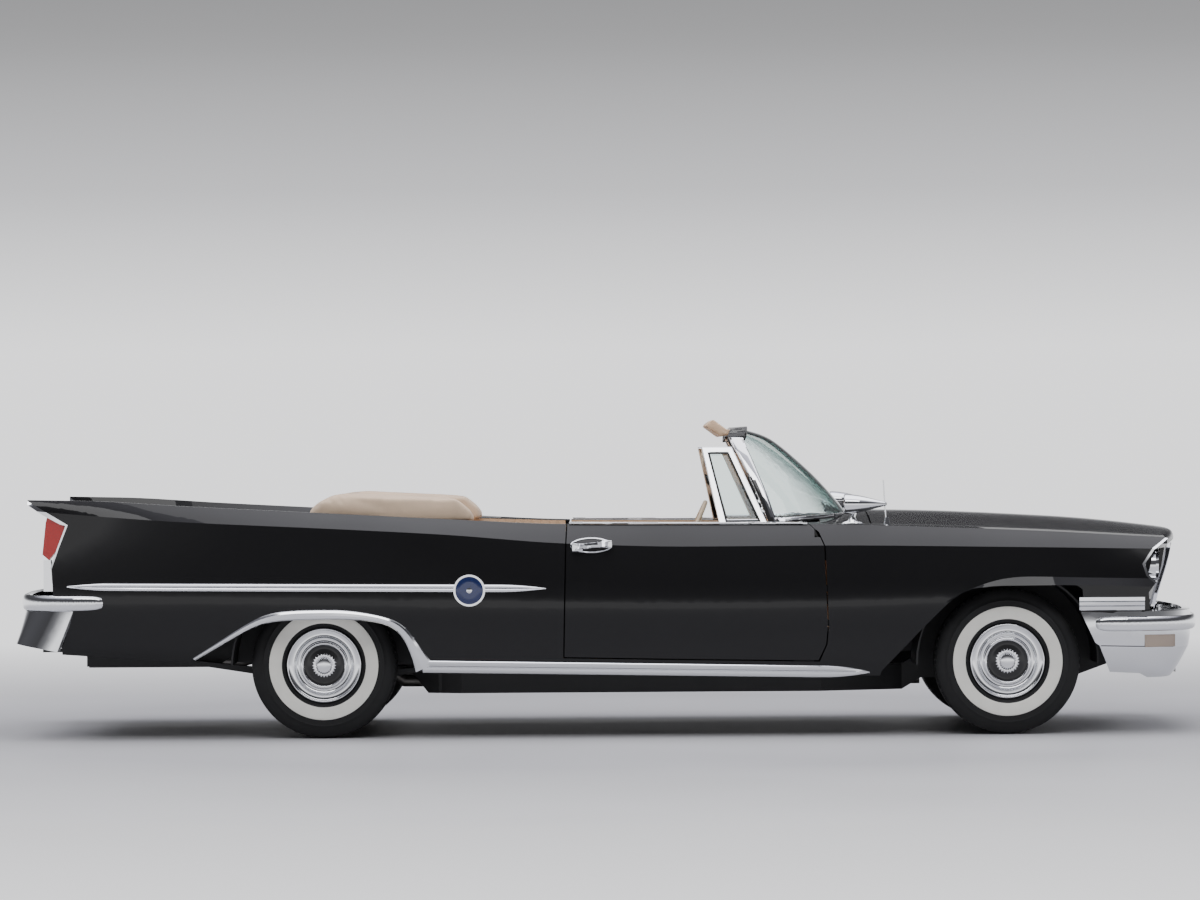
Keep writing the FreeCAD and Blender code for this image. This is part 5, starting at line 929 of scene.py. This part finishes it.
makeBadges()
makeHandleCups()
makeParkingLamps()
makeGauges()
makeFenderMirrors()
makePaintedGrooveShade()
print("fittings done")

horizon = (1.55, 1.55, 1.58)
studio = {
    "floorSize": 60.0, "floorColour": (0.56, 0.56, 0.57), "cloud": (0.6, 5, 0.55), "shade": 0.94,
    "gloss": (0.34, 0.46), "fade": (3.2, 12.0),
    "sky": [(0.0, horizon), (0.02, horizon), (0.05, (0.80, 0.80, 0.83)), (0.08, (0.42, 0.42, 0.43)),
            (0.12, (0.20, 0.20, 0.21)), (0.2, (0.07, 0.07, 0.075)), (0.5, (0.10, 0.10, 0.11)),
            (0.75, (0.8, 0.8, 0.9)), (1.0, (1.7, 1.7, 1.95))],
    "lamps": {
        "TopSoftbox": {"at": (0, -0.6, 5.5), "tilt": 0, "size": (10.0, 5.4), "power": 330.0},
        "BackSoftbox": {"at": (0, 8.5, 5.0), "tilt": -60, "size": (9.0, 2.0), "power": 70.0},
        "FrontSoftbox": {"at": (0, -8.0, 7.5), "tilt": 48, "size": (10.0, 2.5), "power": 330.0},
    },
}
cameraPlace = {"at": (0.085, -24.97, 1.343), "lens": 154.5, "sensor": 36.0, "yaw": 0.289, "roll": -0.39,
               "far": 200}


def makeFloor():
    deselectAll()
    bpy.ops.mesh.primitive_plane_add(size=studio["floorSize"], location=(0, 0, 0))
    floor = bpy.context.object
    floor.name = "StudioFloor"
    material, tree, shader = newMaterial("PaleFloor", Specular_IOR_Level=0.25)
    where = objectCoordinates(tree)
    cloud = noiseTexture(tree, where, *studio["cloud"])
    base = studio["floorColour"]
    stops = [(0.3, tuple(c * studio["shade"] for c in base)), (0.7, base)]
    tree.links.new(colourRamp(tree, cloud, stops), shader.inputs["Base Color"])
    unevenGloss(tree, shader, cloud, studio["gloss"])
    far = addNode(tree, "ShaderNodeVectorMath", "texture", 300, operation="LENGTH")
    tree.links.new(where, far.inputs[0])
    share = mapRange(tree, far.outputs["Value"], 0.0, 1.0, 300, *studio["fade"])
    glow = addNode(tree, "ShaderNodeEmission", "bump", 300)  # far away the floor fades into the horizon
    glow.inputs["Color"].default_value = (*horizon, 1)
    mix = addNode(tree, "ShaderNodeMixShader", "mix", 200)
    tree.links.new(share, mix.inputs["Fac"])
    tree.links.new(shader.outputs["BSDF"], mix.inputs[1])
    tree.links.new(glow.outputs["Emission"], mix.inputs[2])
    tree.links.new(mix.outputs["Shader"], tree.nodes["Material Output"].inputs["Surface"])
    floor.data.materials.append(material)


def makeSky():
    world = bpy.data.worlds.new("StudioWorld")
    bpy.context.scene.world = world
    world.use_nodes = True
    tree = world.node_tree
    place = addNode(tree, "ShaderNodeTexCoord", "coordinates", 0)
    split = addNode(tree, "ShaderNodeSeparateXYZ", "texture", 0)
    tree.links.new(place.outputs["Generated"], split.inputs["Vector"])
    back = tree.nodes["Background"]
    tree.links.new(colourRamp(tree, split.outputs["Z"], studio["sky"]), back.inputs["Color"])
    back.inputs["Strength"].default_value = 1.0


def makeLamps():
    for name, look in studio["lamps"].items():
        lamp = bpy.data.lights.new(name, "AREA")
        lamp.shape = "RECTANGLE"
        lamp.size, lamp.size_y = look["size"]
        lamp.energy = look["power"]
        holder = bpy.data.objects.new(name, lamp)
        holder.location = look["at"]
        holder.rotation_euler = (math.radians(look["tilt"]), 0, 0)
        bpy.context.collection.objects.link(holder)


def makeCamera():
    data = bpy.data.cameras.new("PhotoCamera")
    data.lens = cameraPlace["lens"]
    data.sensor_width = cameraPlace["sensor"]
    data.clip_end = cameraPlace["far"]
    camera = bpy.data.objects.new("PhotoCamera", data)
    turn = (Matrix.Rotation(math.radians(cameraPlace["yaw"]), 4, "Z") @ Matrix.Rotation(quarterTurn, 4, "X")
            @ Matrix.Rotation(math.radians(cameraPlace["roll"]), 4, "Z"))
    camera.matrix_world = Matrix.Translation(cameraPlace["at"]) @ turn
    bpy.context.collection.objects.link(camera)
    bpy.context.scene.camera = camera


makeFloor()
makeSky()
makeLamps()
makeCamera()
print("studio ready")
